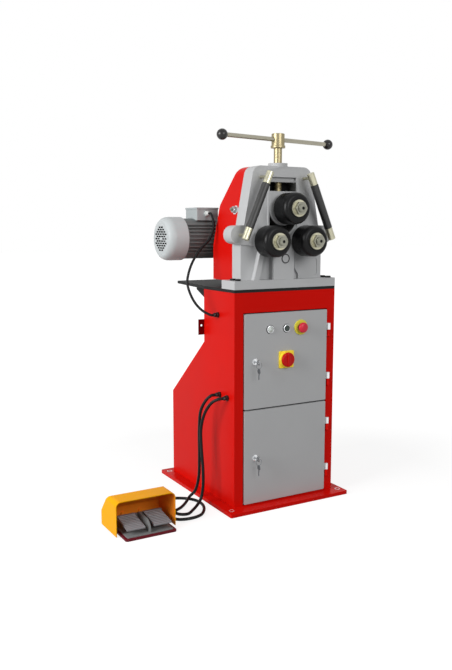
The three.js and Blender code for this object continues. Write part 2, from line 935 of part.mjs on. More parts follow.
function stopCollar() {
  return ring([
    [stopStemRadius + seat, -stopCollarHeight],
    [stopCollarRadius - wideEdge, -stopCollarHeight],
    [stopCollarRadius, -stopCollarHeight + wideEdge],
    [stopCollarRadius, -seat],
    [barrelRadius, -seat],
    [barrelRadius, barrelLength],
    [stopStemRadius + seat, barrelLength],
  ]);
}

function stopButton() {
  const back = -stopHeadLift;
  const front = back - stopHeadHeight;
  return turned([
    [0, front],
    [stopHeadRadius * 0.7, front + 1.5],
    [stopHeadRadius * 0.95, front + 5],
    [stopHeadRadius, front + 8],
    [stopHeadRadius * 0.9, back],
    [stopStemRadius, back + 2],
    [stopStemRadius, barrelLength - stopTravel],
    [0, barrelLength - stopTravel],
  ]);
}

// Main switch: a square plate with a padlock hole, a round boss and a knob with a grip bar
function switchPlate() {
  const half = switchPlateSize / 2;
  const plate = rectangle(-half, half, -half, half, switchPlateCorner);
  plate.holes.push(disc(padlockHoleX, -padlockHoleDrop, padlockHoleRadius));
  const body = join(
    fromFront(plate, -switchPlateHeight, -seat),
    rod(switchBossRadius, -switchPlateHeight - switchBossHeight, -switchPlateHeight + weld),
    rod(barrelRadius, -seat - weld, barrelLength),
  );
  const mouth = -switchPlateHeight - switchBossHeight - cutThrough;
  const bore = rod(stopStemRadius + seat, mouth, barrelLength / 2);
  return cut(body, bore);
}

function switchKnob() {
  const back = -switchPlateHeight - switchBossHeight - seat;
  const front = back - switchKnobHeight;
  const grip = rectangle(-switchGripWidth / 2, switchGripWidth / 2, -switchKnobRadius, switchKnobRadius, 5);
  return join(
    turned([
      [0, front],
      [switchKnobRadius - switchKnobEdge, front],
      [switchKnobRadius, front + switchKnobEdge],
      [switchKnobRadius, back],
      [stopStemRadius, back],
      [stopStemRadius, barrelLength / 2 - seat],
      [0, barrelLength / 2 - seat],
    ]),
    fromFront(grip, front - switchGripHeight, front + weld, 2),
  );
}

addAt(machine, 'pilot_lamp', pilotLamp(), finishes.panelZinc, lampX, doorFace, controlRow);
addAt(machine, 'start_bezel', startBezel(), finishes.steel, startX, doorFace, controlRow);
addAt(machine, 'start_button', startButton(), finishes.blackPlastic, startX, doorFace, controlRow);
addAt(machine, 'stop_collar', stopCollar(), finishes.yellowPlastic, stopX, doorFace, controlRow);
addAt(machine, 'stop_button', stopButton(), finishes.redPlastic, stopX, doorFace, controlRow);
addAt(machine, 'switch_plate', switchPlate(), finishes.yellowPlastic, switchX, doorFace, switchHeight);
addAt(machine, 'switch_knob', switchKnob(), finishes.redPlastic, switchX, doorFace, switchHeight);

// Switchgear on a plate that stands off the back of the waist
function electricsPanel() {
  const rear = waistRear - sheet - seat;
  const plateRear = rear - panelStandOff;
  const plateFront = plateRear - doorSheet;
  const plate = block(-panelHalfWidth, panelHalfWidth, plateFront, plateRear, panelBottom, panelTop);
  const spacer = rod(panelSpacerRadius, plateRear - weld, rear, smallSides);
  const spacers = [];
  for (const x of [-1, 1]) {
    for (const z of [slantTop + railHeight, panelTop - railHeight]) {
      spacers.push(at(spacer, x * (panelHalfWidth - railHeight), 0, z));
    }
  }
  const railHeights = [panelTop - contactorHeight, panelBottom + transformerHeight];
  const rails = railHeights.map((z) => {
    return block(-panelHalfWidth + railDepth, panelHalfWidth - railDepth,
      plateFront - railDepth, plateFront + weld, z - railHeight / 2, z + railHeight / 2);
  });
  const gear = [];
  for (const step of [-2, -1, 0, 1]) {
    const x = step * (contactorWidth + railDepth);
    const middle = railHeights[0];
    gear.push(block(x, x + contactorWidth, plateFront - contactorDepth, plateFront - railDepth + weld,
      middle - contactorHeight / 2, middle + contactorHeight / 2));
  }
  gear.push(block(-panelHalfWidth + railHeight, -panelHalfWidth + railHeight + transformerWidth,
    plateFront - transformerDepth, plateFront - railDepth + weld,
    railHeights[1] - transformerHeight / 2, railHeights[1] + transformerHeight / 2));
  gear.push(block(0, panelHalfWidth - railHeight, plateFront - railHeight, plateFront - railDepth + weld,
    railHeights[1] - railHeight / 2 + 1, railHeights[1] + railHeight / 2 - 1));
  return join(plate, ...spacers, ...rails, ...gear);
}

add(machine, 'electrics_panel', electricsPanel(), finishes.panelZinc);

// Head casting: front outline shared with the gear cover, drawn in by an inset
function headOutline(inset) {
  const foot = headHalfWidth - inset;
  const top = headTopHalfWidth - inset;
  const height = headHeight - inset;
  return outline([
    [-foot, 0],
    [foot, 0],
    [foot, shoulderHeight, headShoulderRadius],
    [top, height, headTopRadius],
    [-top, height, headTopRadius],
    [-foot, shoulderHeight, headShoulderRadius],
  ]);
}

function headHalfWidthAt(height) {
  const share = (height - shoulderHeight) / (headHeight - shoulderHeight);
  return headHalfWidth + (headTopHalfWidth - headHalfWidth) * share;
}

// The slide's slot: straight sides over a round foot, with rounded upper corners if a radius is given
function slotOutline(halfWidth, axisHeight, top, radius = 0) {
  const shape = new THREE.Shape();
  shape.moveTo(halfWidth, top - radius);
  if (radius > 0) {
    shape.absarc(halfWidth - radius, top - radius, radius, 0, Math.PI / 2);
    shape.absarc(radius - halfWidth, top - radius, radius, Math.PI / 2, Math.PI);
  } else {
    shape.lineTo(-halfWidth, top);
  }
  shape.absarc(0, axisHeight, halfWidth, Math.PI, Math.PI * 2);
  return shape;
}

function flangeBoltPlaces() {
  const x = flangeHalfWidth - flangeBoltInsetX;
  const front = cabinetFront + flangeBoltInsetFront;
  const rear = front + flangeBoltPitch;
  return [[-x, front], [x, front], [-x, rear], [x, rear]];
}

function frontRelief() {
  const column = outline([
    [columnLeft, flangeHeight - weld],
    [columnRight, flangeHeight - weld],
    [columnRight, columnTop],
    [columnLeft, columnTop],
  ]);
  const rib = outline([
    [ribFootOuter, flangeHeight - weld],
    [ribFootInner, flangeHeight - weld],
    [ribHeadInner, ribTop],
    [ribHeadOuter, ribTop],
  ]);
  const inside = headFront + pocketDepth + weld;
  const bosses = [-1, 1].map((side) => {
    return at(rod(bearingBossRadius, reliefFront, inside), side * lowerAxisSpread, 0, lowerAxisHeight);
  });
  const rims = [-1, 1].map((side) => {
    const near = side * slotHalfWidth;
    const far = side * (slotHalfWidth + rimWidth);
    return block(Math.min(near, far), Math.max(near, far), headFront - rimProud, inside, rimBottom, rimTop);
  });
  const badge = at(rod(emblemRadius, reliefFront - emblemProud, reliefFront + weld), 0, 0, emblemHeight);
  return join(
    fromFront(column, reliefFront, inside),
    fromFront(rib, reliefFront, inside),
    ...bosses,
    ...rims,
    badge,
  );
}

// An ear for the side guide: a round end on an arm that widens towards the bearing
function ear() {
  const arm = outline([
    [earX, earHeight + earRadius],
    [earRootX, earHeight + earRootRise],
    [earRootX, earHeight - earRootDrop],
    [earX, earHeight - earRadius],
  ]);
  return join(at(rod(earRadius, earFront, earRear), earX, 0, earHeight), fromFront(arm, earFront, earRear));
}

// Sunk areas of the front: between the rib and the column, and a channel to the column's right
function pockets() {
  const lean = (ribHeadInner - ribFootInner) / (ribTop - flangeHeight);
  const between = outline([
    [ribFootInner, flangeHeight],
    [columnLeft, flangeHeight],
    [columnLeft, pocketTop],
    [ribFootInner + lean * (pocketTop - flangeHeight), pocketTop],
  ]);
  const channel = outline([
    [columnRight, flangeHeight],
    [channelFootRight, flangeHeight],
    [channelFootRight, channelKneeLow, channelRound],
    [channelTopRight, channelKneeHigh, channelRound],
    [channelTopRight, pocketTop],
    [columnRight, pocketTop],
  ]);
  return [between, channel].map((shape) => fromFront(shape, headFront, headFront + pocketDepth));
}

function headCasting() {
  const flange = block(-flangeHalfWidth, flangeHalfWidth, cabinetFront, headRear, 0, flangeHeight);
  const wall = cut(fromFront(headOutline(0), headFront, headRear, 5), ...pockets());
  const ears = [ear(), mirrored(ear())];
  const bossRod = upright(rod(screwBossRadius, 0, screwBossHeight + weld, wideSides));
  const boss = at(bossRod, 0, screwAxisY, headHeight - weld);
  const bossLimit = block(-screwBossRadius, screwBossRadius, headFront, headRear,
    headHeight - weld, headHeight + screwBossHeight);
  const tabs = [-1, 1].map((side) => coverTab(side));
  const whole = join(flange, wall, ...ears, boss.intersect(bossLimit), frontRelief(), ...tabs);
  const lowestAxis = upperAxisHeight - travelDown;
  const slot = fromFront(slotOutline(slotHalfWidth, lowestAxis, lintelFoot, lintelCorner),
    reliefFront - cutThrough, slotRear, slotSteps);
  const lintel = block(-slotHalfWidth, slotHalfWidth, reliefFront - cutThrough, headFront + lintelDepth,
    lowestAxis, slotTop);
  const recess = rectangle(panelRecessLeft, panelRecessRight,
    panelRecessFoot, panelRecessTop, panelRecessRadius);
  const screwBore = upright(rod(screwRadius + runningFit, 0, headHeight, roundSides));
  const lowestSlideTop = upperAxisHeight + slideTopAboveAxis - travelDown;
  const cutters = [
    slot,
    lintel,
    fromFront(recess, headFront - cutThrough, headFront + panelRecessDepth),
    at(screwBore, 0, screwAxisY, lowestSlideTop),
    at(rod(pinionShaftRadius + runningFit, headRear - pinionFrontSeat, headRear + cutThrough),
      0, 0, pinionHeight),
  ];
  for (const side of [-1, 1]) {
    const bore = rod(shaftRadius + runningFit, reliefFront - cutThrough, headRear + cutThrough);
    cutters.push(at(bore, side * lowerAxisSpread, 0, lowerAxisHeight));
    const pinHole = rod(guidePinRadius + seat, earFront - cutThrough,
      headFront + guidePinDepth + seat, smallSides);
    for (const [x, z] of [guideUpper, guideLower]) cutters.push(at(pinHole, side * x, 0, z));
    cutters.push(coverBoltHole(side));
  }
  const boltHole = upright(rod(boltShankRadius + runningFit, -cutThrough,
    flangeHeight + cutThrough, smallSides));
  for (const [x, y] of flangeBoltPlaces()) cutters.push(at(boltHole, x, y, 0));
  return cut(whole, ...cutters);
}

// Tabs behind the casting that the cover's side bolts screw into
function coverTab(side) {
  const width = headHalfWidthAt(coverTabHeight);
  const near = side * (width - coverWall - coverTabSize);
  const far = side * (width + coverTabSize);
  const half = coverTabSize / 2;
  const rough = block(Math.min(near, far), Math.max(near, far), headRear - weld, headRear + coverTabLength,
    coverTabHeight - half, coverTabHeight + half);
  const room = fromFront(headOutline(coverWall + seat), headRear - cutThrough, headRear + coverTabLength, 5);
  return rough.intersect(room);
}

const coverSlope = Math.atan2(headHalfWidth - headTopHalfWidth, headHeight - shoulderHeight);

// Places a body drawn about the Y axis, pointing inwards, square to the cover's side wall
function onCoverSide(body, side) {
  const leftFacing = alongX(body).rotate([0, THREE.MathUtils.radToDeg(coverSlope), 0]);
  const outward = -headHalfWidthAt(coverTabHeight);
  const placed = at(leftFacing, outward, headRear + coverTabLength / 2, coverTabHeight);
  return side < 0 ? placed : mirrored(placed);
}

function coverBoltHole(side) {
  return onCoverSide(rod(coverBoltRadius + seat, -cutThrough, coverBoltLength + seat, smallSides), side);
}

add(head, 'head_casting', headCasting(), finishes.castPaint);

// Gear cover: a shell behind the casting, slanted at the top rear, with bosses for the shaft ends
function coverProfile(inset, front) {
  const foot = inset === 0 ? coverFoot : coverFoot - cutThrough;
  return outline([
    [front, foot],
    [coverRear - inset, foot],
    [coverRear - inset, coverBendHeight, coverBendRadius],
    [coverTopRear - inset, headHeight - inset, coverTopRadius],
    [front, headHeight - inset],
  ]);
}

function coverForm(inset, front) {
  const deep = fromFront(headOutline(inset), front, coverRear - inset, 5);
  const span = headHalfWidth + cutThrough;
  return deep.intersect(fromSide(coverProfile(inset, front), -span, span, 8));
}

function gearCover() {
  const shell = cut(coverForm(0, headRear), coverForm(coverWall, headRear - cutThrough));
  const innerFace = coverRear - coverWall;
  const bosses = [-1, 1].map((side) => {
    const boss = rod(coverBossRadius, innerFace - coverBossLength, innerFace + weld);
    return at(boss, side * lowerAxisSpread, 0, lowerAxisHeight);
  });
  const bores = [-1, 1].map((side) => {
    const bore = rod(shaftRadius + runningFit, innerFace - coverBossLength - cutThrough,
      innerFace - coverBossLength + shaftRearReach + seat);
    return at(bore, side * lowerAxisSpread, 0, lowerAxisHeight);
  });
  const pinionHole = at(rod(pinionShaftRadius + runningFit, innerFace - cutThrough, coverRear + cutThrough),
    0, 0, pinionHeight);
  return cut(join(shell, ...bosses), ...bores, pinionHole, coverBoltHole(-1), coverBoltHole(1));
}

add(head, 'gear_cover', gearCover(), finishes.redPaint);

// Slide: carries the upper shaft, hangs on the screw and runs in the casting's slot
function slideBlock() {
  const halfWidth = slotHalfWidth - runningFit;
  const front = headFront - slideProud;
  const rear = slotRear - runningFit;
  const top = upperAxisHeight + slideTopAboveAxis;
  const body = fromFront(slotOutline(halfWidth, upperAxisHeight, top), front, rear, slotSteps);
  const bore = at(rod(shaftRadius + runningFit, front - cutThrough, rear - slideBearingWidth / 2), 0, 0,
    upperAxisHeight);
  const socket = at(upright(rod(screwJournalRadius + runningFit, -screwJournalDepth - seat, cutThrough)),
    0, screwAxisY, top);
  return cut(body, bore, socket);
}

const barHeight = screwHubFoot + screwCollarHeight + screwHubHeight / 2;

// Press screw: a journal in the slide's socket, the spindle through the casting and the bored head
function pressScrew() {
  const slideTop = upperAxisHeight + slideTopAboveAxis;
  const top = screwHubFoot + screwCollarHeight + screwHubHeight;
  const body = upright(turned([
    [0, slideTop - screwJournalDepth],
    [screwJournalRadius, slideTop - screwJournalDepth],
    [screwJournalRadius, slideTop + seat],
    [screwShoulderRadius, slideTop + seat],
    [screwShoulderRadius, slideTop + screwShoulderLift],
    [screwRadius, slideTop + screwShoulderLift + wideEdge],
    [screwRadius, screwHubFoot],
    [screwCollarRadius - edgeBreak, screwHubFoot],
    [screwCollarRadius, screwHubFoot + edgeBreak],
    [screwCollarRadius, screwHubFoot + screwCollarHeight],
    [screwHubRadius, screwHubFoot + screwCollarHeight],
    [screwHubRadius, top - wideEdge],
    [screwHubRadius - wideEdge, top],
    [0, top],
  ]));
  const hole = alongX(rod(tommyBarRadius + seat, -screwCollarRadius, screwCollarRadius, 24));
  return cut(body, at(hole, 0, 0, barHeight));
}

function tommyBar() {
  const half = tommyBarSpan / 2 - knobRadius + knobBoreDepth;
  return alongX(rod(tommyBarRadius, -half, half, 24));
}

function ballKnob() {
  const bore = knobRadius - knobBoreDepth;
  const ball = [[0, -knobRadius]];
  for (let step = 1; step < knobSteps; step += 1) {
    const angle = -Math.PI / 2 + (step * Math.PI) / knobSteps;
    ball.push([knobRadius * Math.cos(angle), knobRadius * Math.sin(angle)]);
  }
  ball.push([0, knobRadius]);
  const knob = cut(turned(ball, 24), rod(tommyBarRadius + seat, -knobRadius - cutThrough, -bore + seat, 24));
  return at(alongX(knob), tommyBarSpan / 2, 0, 0);
}

const press = new THREE.Group();
press.position.y = screwAxisY;
head.add(press);
add(head, 'slide_block', slideBlock(), finishes.castPaint);
press.rotation.z = THREE.MathUtils.degToRad(tommyBarTurn);
add(press, 'press_screw', pressScrew(), finishes.zinc);
addAt(press, 'tommy_bar', tommyBar(), finishes.nickel, 0, 0, barHeight);
addAt(press, 'left_ball_knob', mirrored(ballKnob()), finishes.blackPlastic, 0, 0, barHeight);
addAt(press, 'right_ball_knob', ballKnob(), finishes.blackPlastic, 0, 0, barHeight);

// A bending roller, bored for its shaft, with a well-rounded front edge
function roller() {
  const edge = [];
  for (let step = 0; step <= rollerEdgeSteps; step += 1) {
    const angle = (step * Math.PI) / 2 / rollerEdgeSteps;
    const radius = rollerRadius - rollerEdgeDepth * (1 - Math.sin(angle));
    edge.push([radius, rollerFront + rollerEdgeLength * (1 - Math.cos(angle))]);
  }
  return ring([
    [shaftRadius + seat, rollerFront],
    ...edge,
    [rollerRadius, rollerRear - rollerRearEdge],
    [rollerRadius - rollerRearEdge, rollerRear],
    [shaftRadius + seat, rollerRear],
  ], wideSides);
}

// A shaft with a collar behind the roller and a drilled front end
function shaft(collarRear, rear) {
  return turned([
    [0, shaftFront + centreHoleDepth],
    [centreHoleRadius, shaftFront + centreHoleDepth - centreHolePoint],
    [centreHoleRadius, shaftFront],
    [shaftRadius - wideEdge, shaftFront],
    [shaftRadius, shaftFront + wideEdge],
    [shaftRadius, rollerRear + seat],
    [shaftCollarRadius, rollerRear + seat],
    [shaftCollarRadius, collarRear - seat],
    [shaftRadius, collarRear - seat],
    [shaftRadius, rear],
    [0, rear],
  ]);
}

// Roller nut: a broad washer face, a round collar and the hexagon
function rollerNut() {
  const back = rollerFront - seat;
  const washerFace = back - washerThickness;
  const collarFace = washerFace - nutCollarThickness;
  const face = collarFace - nutHeight;
  const round = turned([
    [0, collarFace - weld],
    [nutCollarRadius - edgeBreak, collarFace],
    [nutCollarRadius, collarFace + edgeBreak],
    [nutCollarRadius, washerFace],
    [washerRadius - edgeBreak, washerFace],
    [washerRadius, washerFace + edgeBreak],
    [washerRadius, back],
    [0, back],
  ]);
  const hex = fromFront(hexagon(0, 0, nutAcross), face, collarFace + weld);
  return cut(join(round, hex), rod(shaftRadius + seat, face - cutThrough, back + cutThrough));
}

const shaftRear = coverRear - coverWall - coverBossLength + shaftRearReach;
const rollers = [
  { side: 'left', x: -lowerAxisSpread, z: lowerAxisHeight },
  { side: 'right', x: lowerAxisSpread, z: lowerAxisHeight },
  { side: 'top', x: 0, z: upperAxisHeight },
];
for (const { side, x, z } of rollers) {
  const isTop = side === 'top';
  const collarRear = isTop ? headFront - slideProud : reliefFront;
  const rear = isTop ? slotRear - runningFit - slideBearingWidth / 2 - seat : shaftRear;
  addAt(head, `${side}_roller`, roller(), finishes.blackSteel, x, 0, z);
  addAt(head, `${side}_shaft`, shaft(collarRear, rear), finishes.steel, x, 0, z);
  addAt(head, `${side}_nut`, rollerNut(), finishes.zinc, x, 0, z);
}

// Involute gear outline; the tooth in the middle points along +X
function gearOutline(teeth) {
  const pitch = (gearModule * teeth) / 2;
  const base = pitch * Math.cos(THREE.MathUtils.degToRad(pressureAngle));
  const tip = pitch + gearModule * addendumShare;
  const root = pitch - gearModule * dedendumShare;
  const involute = (radius) => {
    const roll = Math.acos(Math.min(1, base / radius));
    return Math.tan(roll) - roll;
  };
  const halfTooth = (Math.PI * gearModule) / 2 / 2 - toothBacklash / 2;
  const pitchHalfAngle = halfTooth / pitch;
  const undercut = base - root > gearModule / 4;
  const radii = undercut ? [root, base, pitch, tip] : [root, pitch, tip];
  const flank = radii.map((radius) => [radius, pitchHalfAngle + involute(pitch) - involute(radius)]);
  const points = [];
  for (let tooth = 0; tooth < teeth; tooth += 1) {
    const middle = (tooth * Math.PI * 2) / teeth;
    for (const [radius, half] of flank) {
      points.push([radius * Math.cos(middle - half), radius * Math.sin(middle - half)]);
    }
    for (const [radius, half] of [...flank].reverse()) {
      points.push([radius * Math.cos(middle + half), radius * Math.sin(middle + half)]);
    }
  }
  return outline(points);
}

function driveGear() {
  const rear = gearFront + gearWidth;
  const teeth = fromFront(gearOutline(driveTeeth), gearFront, rear);
  const hub = rod(gearHubRadius, rear - weld, rear + gearHubLength);
  const web = tube(gearHubRadius + gearWebRecess / 2, gearWebRadius, gearFront - cutThrough,
    gearFront + gearWebRecess);
  const bore = rod(shaftRadius + seat, gearFront - cutThrough, rear + gearHubLength + cutThrough);
  return cut(join(teeth, hub), web, bore);
}

function drivePinion() {
  const teeth = fromFront(gearOutline(pinionTeeth), gearFront, gearFront + gearWidth);
  const front = headRear - pinionFrontSeat + seat;
  return join(teeth, rod(pinionShaftRadius, front, gearboxRear - seat));
}

// Turns each drive gear so that its teeth fall in the pinion's gaps
const pinionPitchAngle = (Math.PI * 2) / pinionTeeth;
const rise = lowerAxisHeight - pinionHeight;
const leftLine = Math.atan2(rise, -lowerAxisSpread);
const rightLine = Math.atan2(rise, lowerAxisSpread);
const pinionTurn = leftLine + pinionPitchAngle / 2;

function driveTurn(line) {
  const offset = line - (pinionTurn + pinionPitchAngle / 2);
  const slip = offset - Math.round(offset / pinionPitchAngle) * pinionPitchAngle;
  return line + Math.PI + (slip * pinionTeeth) / driveTeeth;
}

// Outlines seen from the front turn clockwise for a positive turn about +Y
function addTurned(name, body, x, z, turn) {
  const mesh = addAt(head, name, body, finishes.steel, x, 0, z);
  mesh.rotation.y = -turn;
}

addTurned('left_drive_gear', driveGear(), -lowerAxisSpread, lowerAxisHeight, driveTurn(leftLine));
addTurned('right_drive_gear', driveGear(), lowerAxisSpread, lowerAxisHeight, driveTurn(rightLine));
addTurned('drive_pinion', drivePinion(), 0, pinionHeight, pinionTurn);

// Worm gearbox, drawn about the pinion shaft, flanged to the cover's rear
function gearbox() {
  const shape = rectangle(-gearboxHalfWidth, gearboxHalfWidth,
    -gearboxBelow, gearboxAbove, gearboxCornerRadius);
  const housing = fromFront(shape, gearboxFront, gearboxRear);
  const spigot = rod(gearboxSpigotRadius, coverRear + seat, gearboxFront + weld);
  const rim = rod(gearboxRimRadius, coverRear + seat, coverRear + seat + gearboxRimThickness);
  const nearEnd = -gearboxHalfWidth - motorFlangeThickness;
  const farEnd = gearboxHalfWidth + motorFlangeThickness;
  const wormTube = alongX(rod(wormCentres - gearboxCornerRadius, nearEnd, farEnd));
  const flange = alongX(rod(motorFlangeRadius, nearEnd, -gearboxHalfWidth + weld, wideSides));
  const input = at(join(wormTube, flange), 0, gearboxY, wormCentres);
  const bore = rod(pinionShaftRadius + runningFit, coverRear - cutThrough, gearboxRear + cutThrough);
  return cut(join(housing, spigot, rim, input), bore);
}

// Motor body seen along its axis: fins on both flanks, smooth above and below
function motorSection() {
  const points = [];
  const finStep = motorFinArc / (motorFinCount - 1);
  const quarter = 90 - motorFinArc / 2;
  for (const middle of [0, halfTurn]) {
    for (let fin = 0; fin < motorFinCount; fin += 1) {
      const angle = THREE.MathUtils.degToRad(middle - motorFinArc / 2 + fin * finStep);
      const rootHalf = motorFinThickness / 2 / motorRootRadius;
      const tipHalf = motorFinThickness / 2 / motorFinRadius;
      for (const [radius, turn] of [
        [motorRootRadius, -rootHalf],
        [motorFinRadius, -tipHalf],
        [motorFinRadius, tipHalf],
        [motorRootRadius, rootHalf],
      ]) {
        points.push([radius * Math.cos(angle + turn), radius * Math.sin(angle + turn)]);
      }
    }
    for (let step = -motorArcSteps; step <= motorArcSteps; step += 1) {
      const sweep = (quarter * motorArcShare * step) / motorArcSteps;
      const angle = THREE.MathUtils.degToRad(middle + 90 + sweep);
      points.push([motorShellRadius * Math.cos(angle), motorShellRadius * Math.sin(angle)]);
    }
  }
  return outline(points);
}

function motorBody() {
  const farEnd = motorBodyEnd + endShieldLength - weld;
  const finned = fromSide(motorSection(), farEnd, motorBodyStart - endShieldLength + weld);
  const nearShield = alongX(rod(motorFlangeRadius,
    motorBodyStart - endShieldLength, motorBodyStart, wideSides));
  const farRadius = fanCoverRadius - fanCoverWall - seat;
  const farShield = alongX(rod(farRadius, motorBodyEnd, motorBodyEnd + endShieldLength, wideSides));
  const shaftBore = alongX(rod(fanShaftRadius + runningFit, motorBodyEnd - cutThrough,
    motorBodyEnd + endShieldLength));
  return cut(join(finned, nearShield, farShield), shaftBore);
}

function fanCover() {
  const end = fanCoverEnd;
  const chamfer = end + fanCoverChamfer;
  const mouth = motorBodyEnd + fanCoverLap;
  const shell = alongX(ring([
    [fanCoverRadius - fanCoverWall, mouth],
    [fanCoverRadius, mouth],
    [fanCoverRadius, chamfer],
    [fanCoverRadius - fanCoverShoulder, end + fanCoverChamfer * 0.4],
    [fanCoverFaceRadius, end],
    [1, end],
    [1, end + fanCoverWall],
    [fanCoverFaceRadius - 1, end + fanCoverWall],
    [fanCoverRadius - fanCoverWall - fanCoverShoulder, end + fanCoverChamfer * 0.4 + 1],
    [fanCoverRadius - fanCoverWall, chamfer],
  ], wideSides));
  const centre = alongX(rod(3, end, end + fanCoverWall, smallSides));
  const slots = [];
  const rows = Math.floor(grilleRadius / grilleRowPitch);
  for (let row = -rows; row <= rows; row += 1) {
    const z = row * grilleRowPitch;
    const columns = Math.floor(Math.sqrt(grilleRadius ** 2 - z ** 2) / grilleSlotPitch);
    for (let column = -columns; column <= columns; column += 1) {
      const y = column * grilleSlotPitch;
      slots.push(block(end - cutThrough, end + fanCoverWall + cutThrough, y - grilleSlotLength / 2,
        y + grilleSlotLength / 2, z - grilleSlotHeight / 2, z + grilleSlotHeight / 2));
    }
  }
  return cut(join(shell, centre), ...slots);
}

function coolingFan() {
  const face = fanCoverEnd + fanFaceGap;
  const back = face + fanWidth;
  const hub = alongX(rod(fanHubRadius, face, back));
  const plate = alongX(rod(fanRadius, back - fanBladeThickness, back, wideSides));
  const axle = alongX(rod(fanShaftRadius, back - weld, motorBodyEnd + endShieldLength - seat));
  const half = fanBladeThickness / 2;
  const blade = block(face, back - weld, -half, half, fanHubRadius - weld, fanRadius);
  const blades = [];
  for (let index = 0; index < fanBlades; index += 1) {
    blades.push(blade.rotate([(index * halfTurn * 2) / fanBlades, 0, 0]));
  }
  return join(hub, plate, axle, ...blades);
}

// Terminal box with its cable entry, hollowed underneath to sit on the motor's round top
function terminalBox() {
  const top = motorShellRadius + terminalHeight;
  const bodyTop = top - terminalLid;
  const body = rectangle(-terminalHalfDepth, terminalHalfDepth, motorRootRadius, bodyTop);
  const lidHalf = terminalHalfDepth + terminalLidLip;
  const box = join(
    fromSide(body, terminalLeft, terminalRight),
    fromSide(rectangle(-lidHalf, lidHalf, bodyTop - weld, top, 2), terminalLeft - terminalLidLip,
      terminalRight + terminalLidLip, 1),
  );
  const saddleEnd = terminalLidLip + cutThrough;
  const saddle = alongX(rod(motorShellRadius + seat,
    terminalLeft - saddleEnd, terminalRight + saddleEnd, wideSides));
  const entry = at(gland(), terminalGlandX, -terminalHalfDepth, motorShellRadius + terminalGlandLift);
  return join(cut(box, saddle), entry);
}

const motor = new THREE.Group();
motor.position.set(0, gearboxY, motorHeight);
head.add(motor);
addAt(head, 'gearbox', gearbox(), finishes.motorGrey, 0, 0, pinionHeight);
add(motor, 'motor_body', motorBody(), finishes.motorGrey);
add(motor, 'fan_cover', fanCover(), finishes.lightAlloy);
add(motor, 'cooling_fan', coolingFan(), finishes.blackPlastic);
add(motor, 'terminal_box', terminalBox(), finishes.motorGrey);

// Side guides: two pins from the casting carry a leaning axle with a sleeve that turns on it
function guideLean() {
  return Math.atan2(guideLower[0] - guideUpper[0], guideUpper[1] - guideLower[1]);
}

function guideAxle() {
  const span = Math.hypot(guideLower[0] - guideUpper[0], guideUpper[1] - guideLower[1]);
  const top = span / 2 + guideOverUpper;
  const foot = -span / 2 - guideUnder;
  const half = guideSleeveLength / 2 + seat;
  return turned([
    [0, foot],
    [guideCapRadius - guideEdge, foot],
    [guideCapRadius, foot + guideEdge],
    [guideCapRadius, -half],
    [guideAxleRadius, -half],
    [guideAxleRadius, half],
    [guideCapRadius, half],
    [guideCapRadius, top - guideEdge],
    [guideCapRadius - guideEdge, top],
    [0, top],
  ], roundSides);
}

// The left guide, with its pins, in the head's own frame
function guideFrame() {
  const middleX = -(guideUpper[0] + guideLower[0]) / 2;
  const middleZ = (guideUpper[1] + guideLower[1]) / 2;
  const lean = THREE.MathUtils.radToDeg(guideLean());
  const axle = at(upright(guideAxle()).rotate([0, lean, 0]), middleX, guidePlane, middleZ);
  const pin = rod(guidePinRadius, guidePlane, headFront + guidePinDepth, smallSides);
  const pins = [guideUpper, guideLower].map(([x, z]) => at(pin, -x, 0, z));
  return join(axle, ...pins);
}

function guideSleeve() {
  const half = guideSleeveLength / 2;
  return ring([
    [guideAxleRadius + runningFit, -half],
    [guideSleeveRadius - guideEdge, -half],
    [guideSleeveRadius, -half + guideEdge],
    [guideSleeveRadius, half - guideEdge],
    [guideSleeveRadius - guideEdge, half],
    [guideAxleRadius + runningFit, half],
  ], roundSides);
}

for (const [name, side] of [['left', -1], ['right', 1]]) {
  const frame = guideFrame();
  add(head, `${name}_guide_frame`, side < 0 ? frame : mirrored(frame), finishes.zinc);
  const sleeve = addAt(head, `${name}_guide_roller`, upright(guideSleeve()), finishes.blackSteel,
    (side * (guideUpper[0] + guideLower[0])) / 2, guidePlane, (guideUpper[1] + guideLower[1]) / 2);
  sleeve.rotation.y = -side * guideLean();
}

// Two bolts on each side hold the casting's flange; both screw into one tapped strip under the top plate
function flangeBolts(side) {
  const places = flangeBoltPlaces().filter(([x]) => x * side > 0);
  const bolt = join(
    upright(rod(boltShankRadius, -deckThickness - boltStripThickness,
      flangeHeight + seat + weld, smallSides)),
    fromAbove(hexagon(0, 0, boltHeadAcross), flangeHeight + seat, flangeHeight + seat + boltHeadHeight),
  );
  const [[x, front], [, rear]] = places;
  const half = boltStripWidth / 2;
  const strip = block(x - half, x + half, front - half, rear + half,
    -deckThickness - seat - boltStripThickness, -deckThickness - seat);
  return join(strip, ...places.map(([boltX, boltY]) => at(bolt, boltX, boltY, 0)));
}

// A stud with its washer and nut, square to the side of the gear cover
function coverBolt() {
  const washerOut = -seat - coverWasherThickness;
  return join(
    rod(coverWasherRadius, washerOut, -seat, 24),
    fromFront(hexagon(0, 0, coverBoltAcross), washerOut - coverBoltHeight, washerOut + weld),
    rod(coverBoltRadius, washerOut - coverBoltHeight - coverStudEnd, coverBoltLength, smallSides),
  );
}

for (const [name, side] of [['left', -1], ['right', 1]]) {
  add(head, `${name}_flange_bolts`, flangeBolts(side), finishes.blackSteel);
  add(head, `${name}_cover_bolt`, onCoverSide(coverBolt(), side), finishes.zinc);
}

// Foot switch, drawn about the middle of its base
const pedal = new THREE.Group();
pedal.position.x = pedalX;
machine.add(pedal);

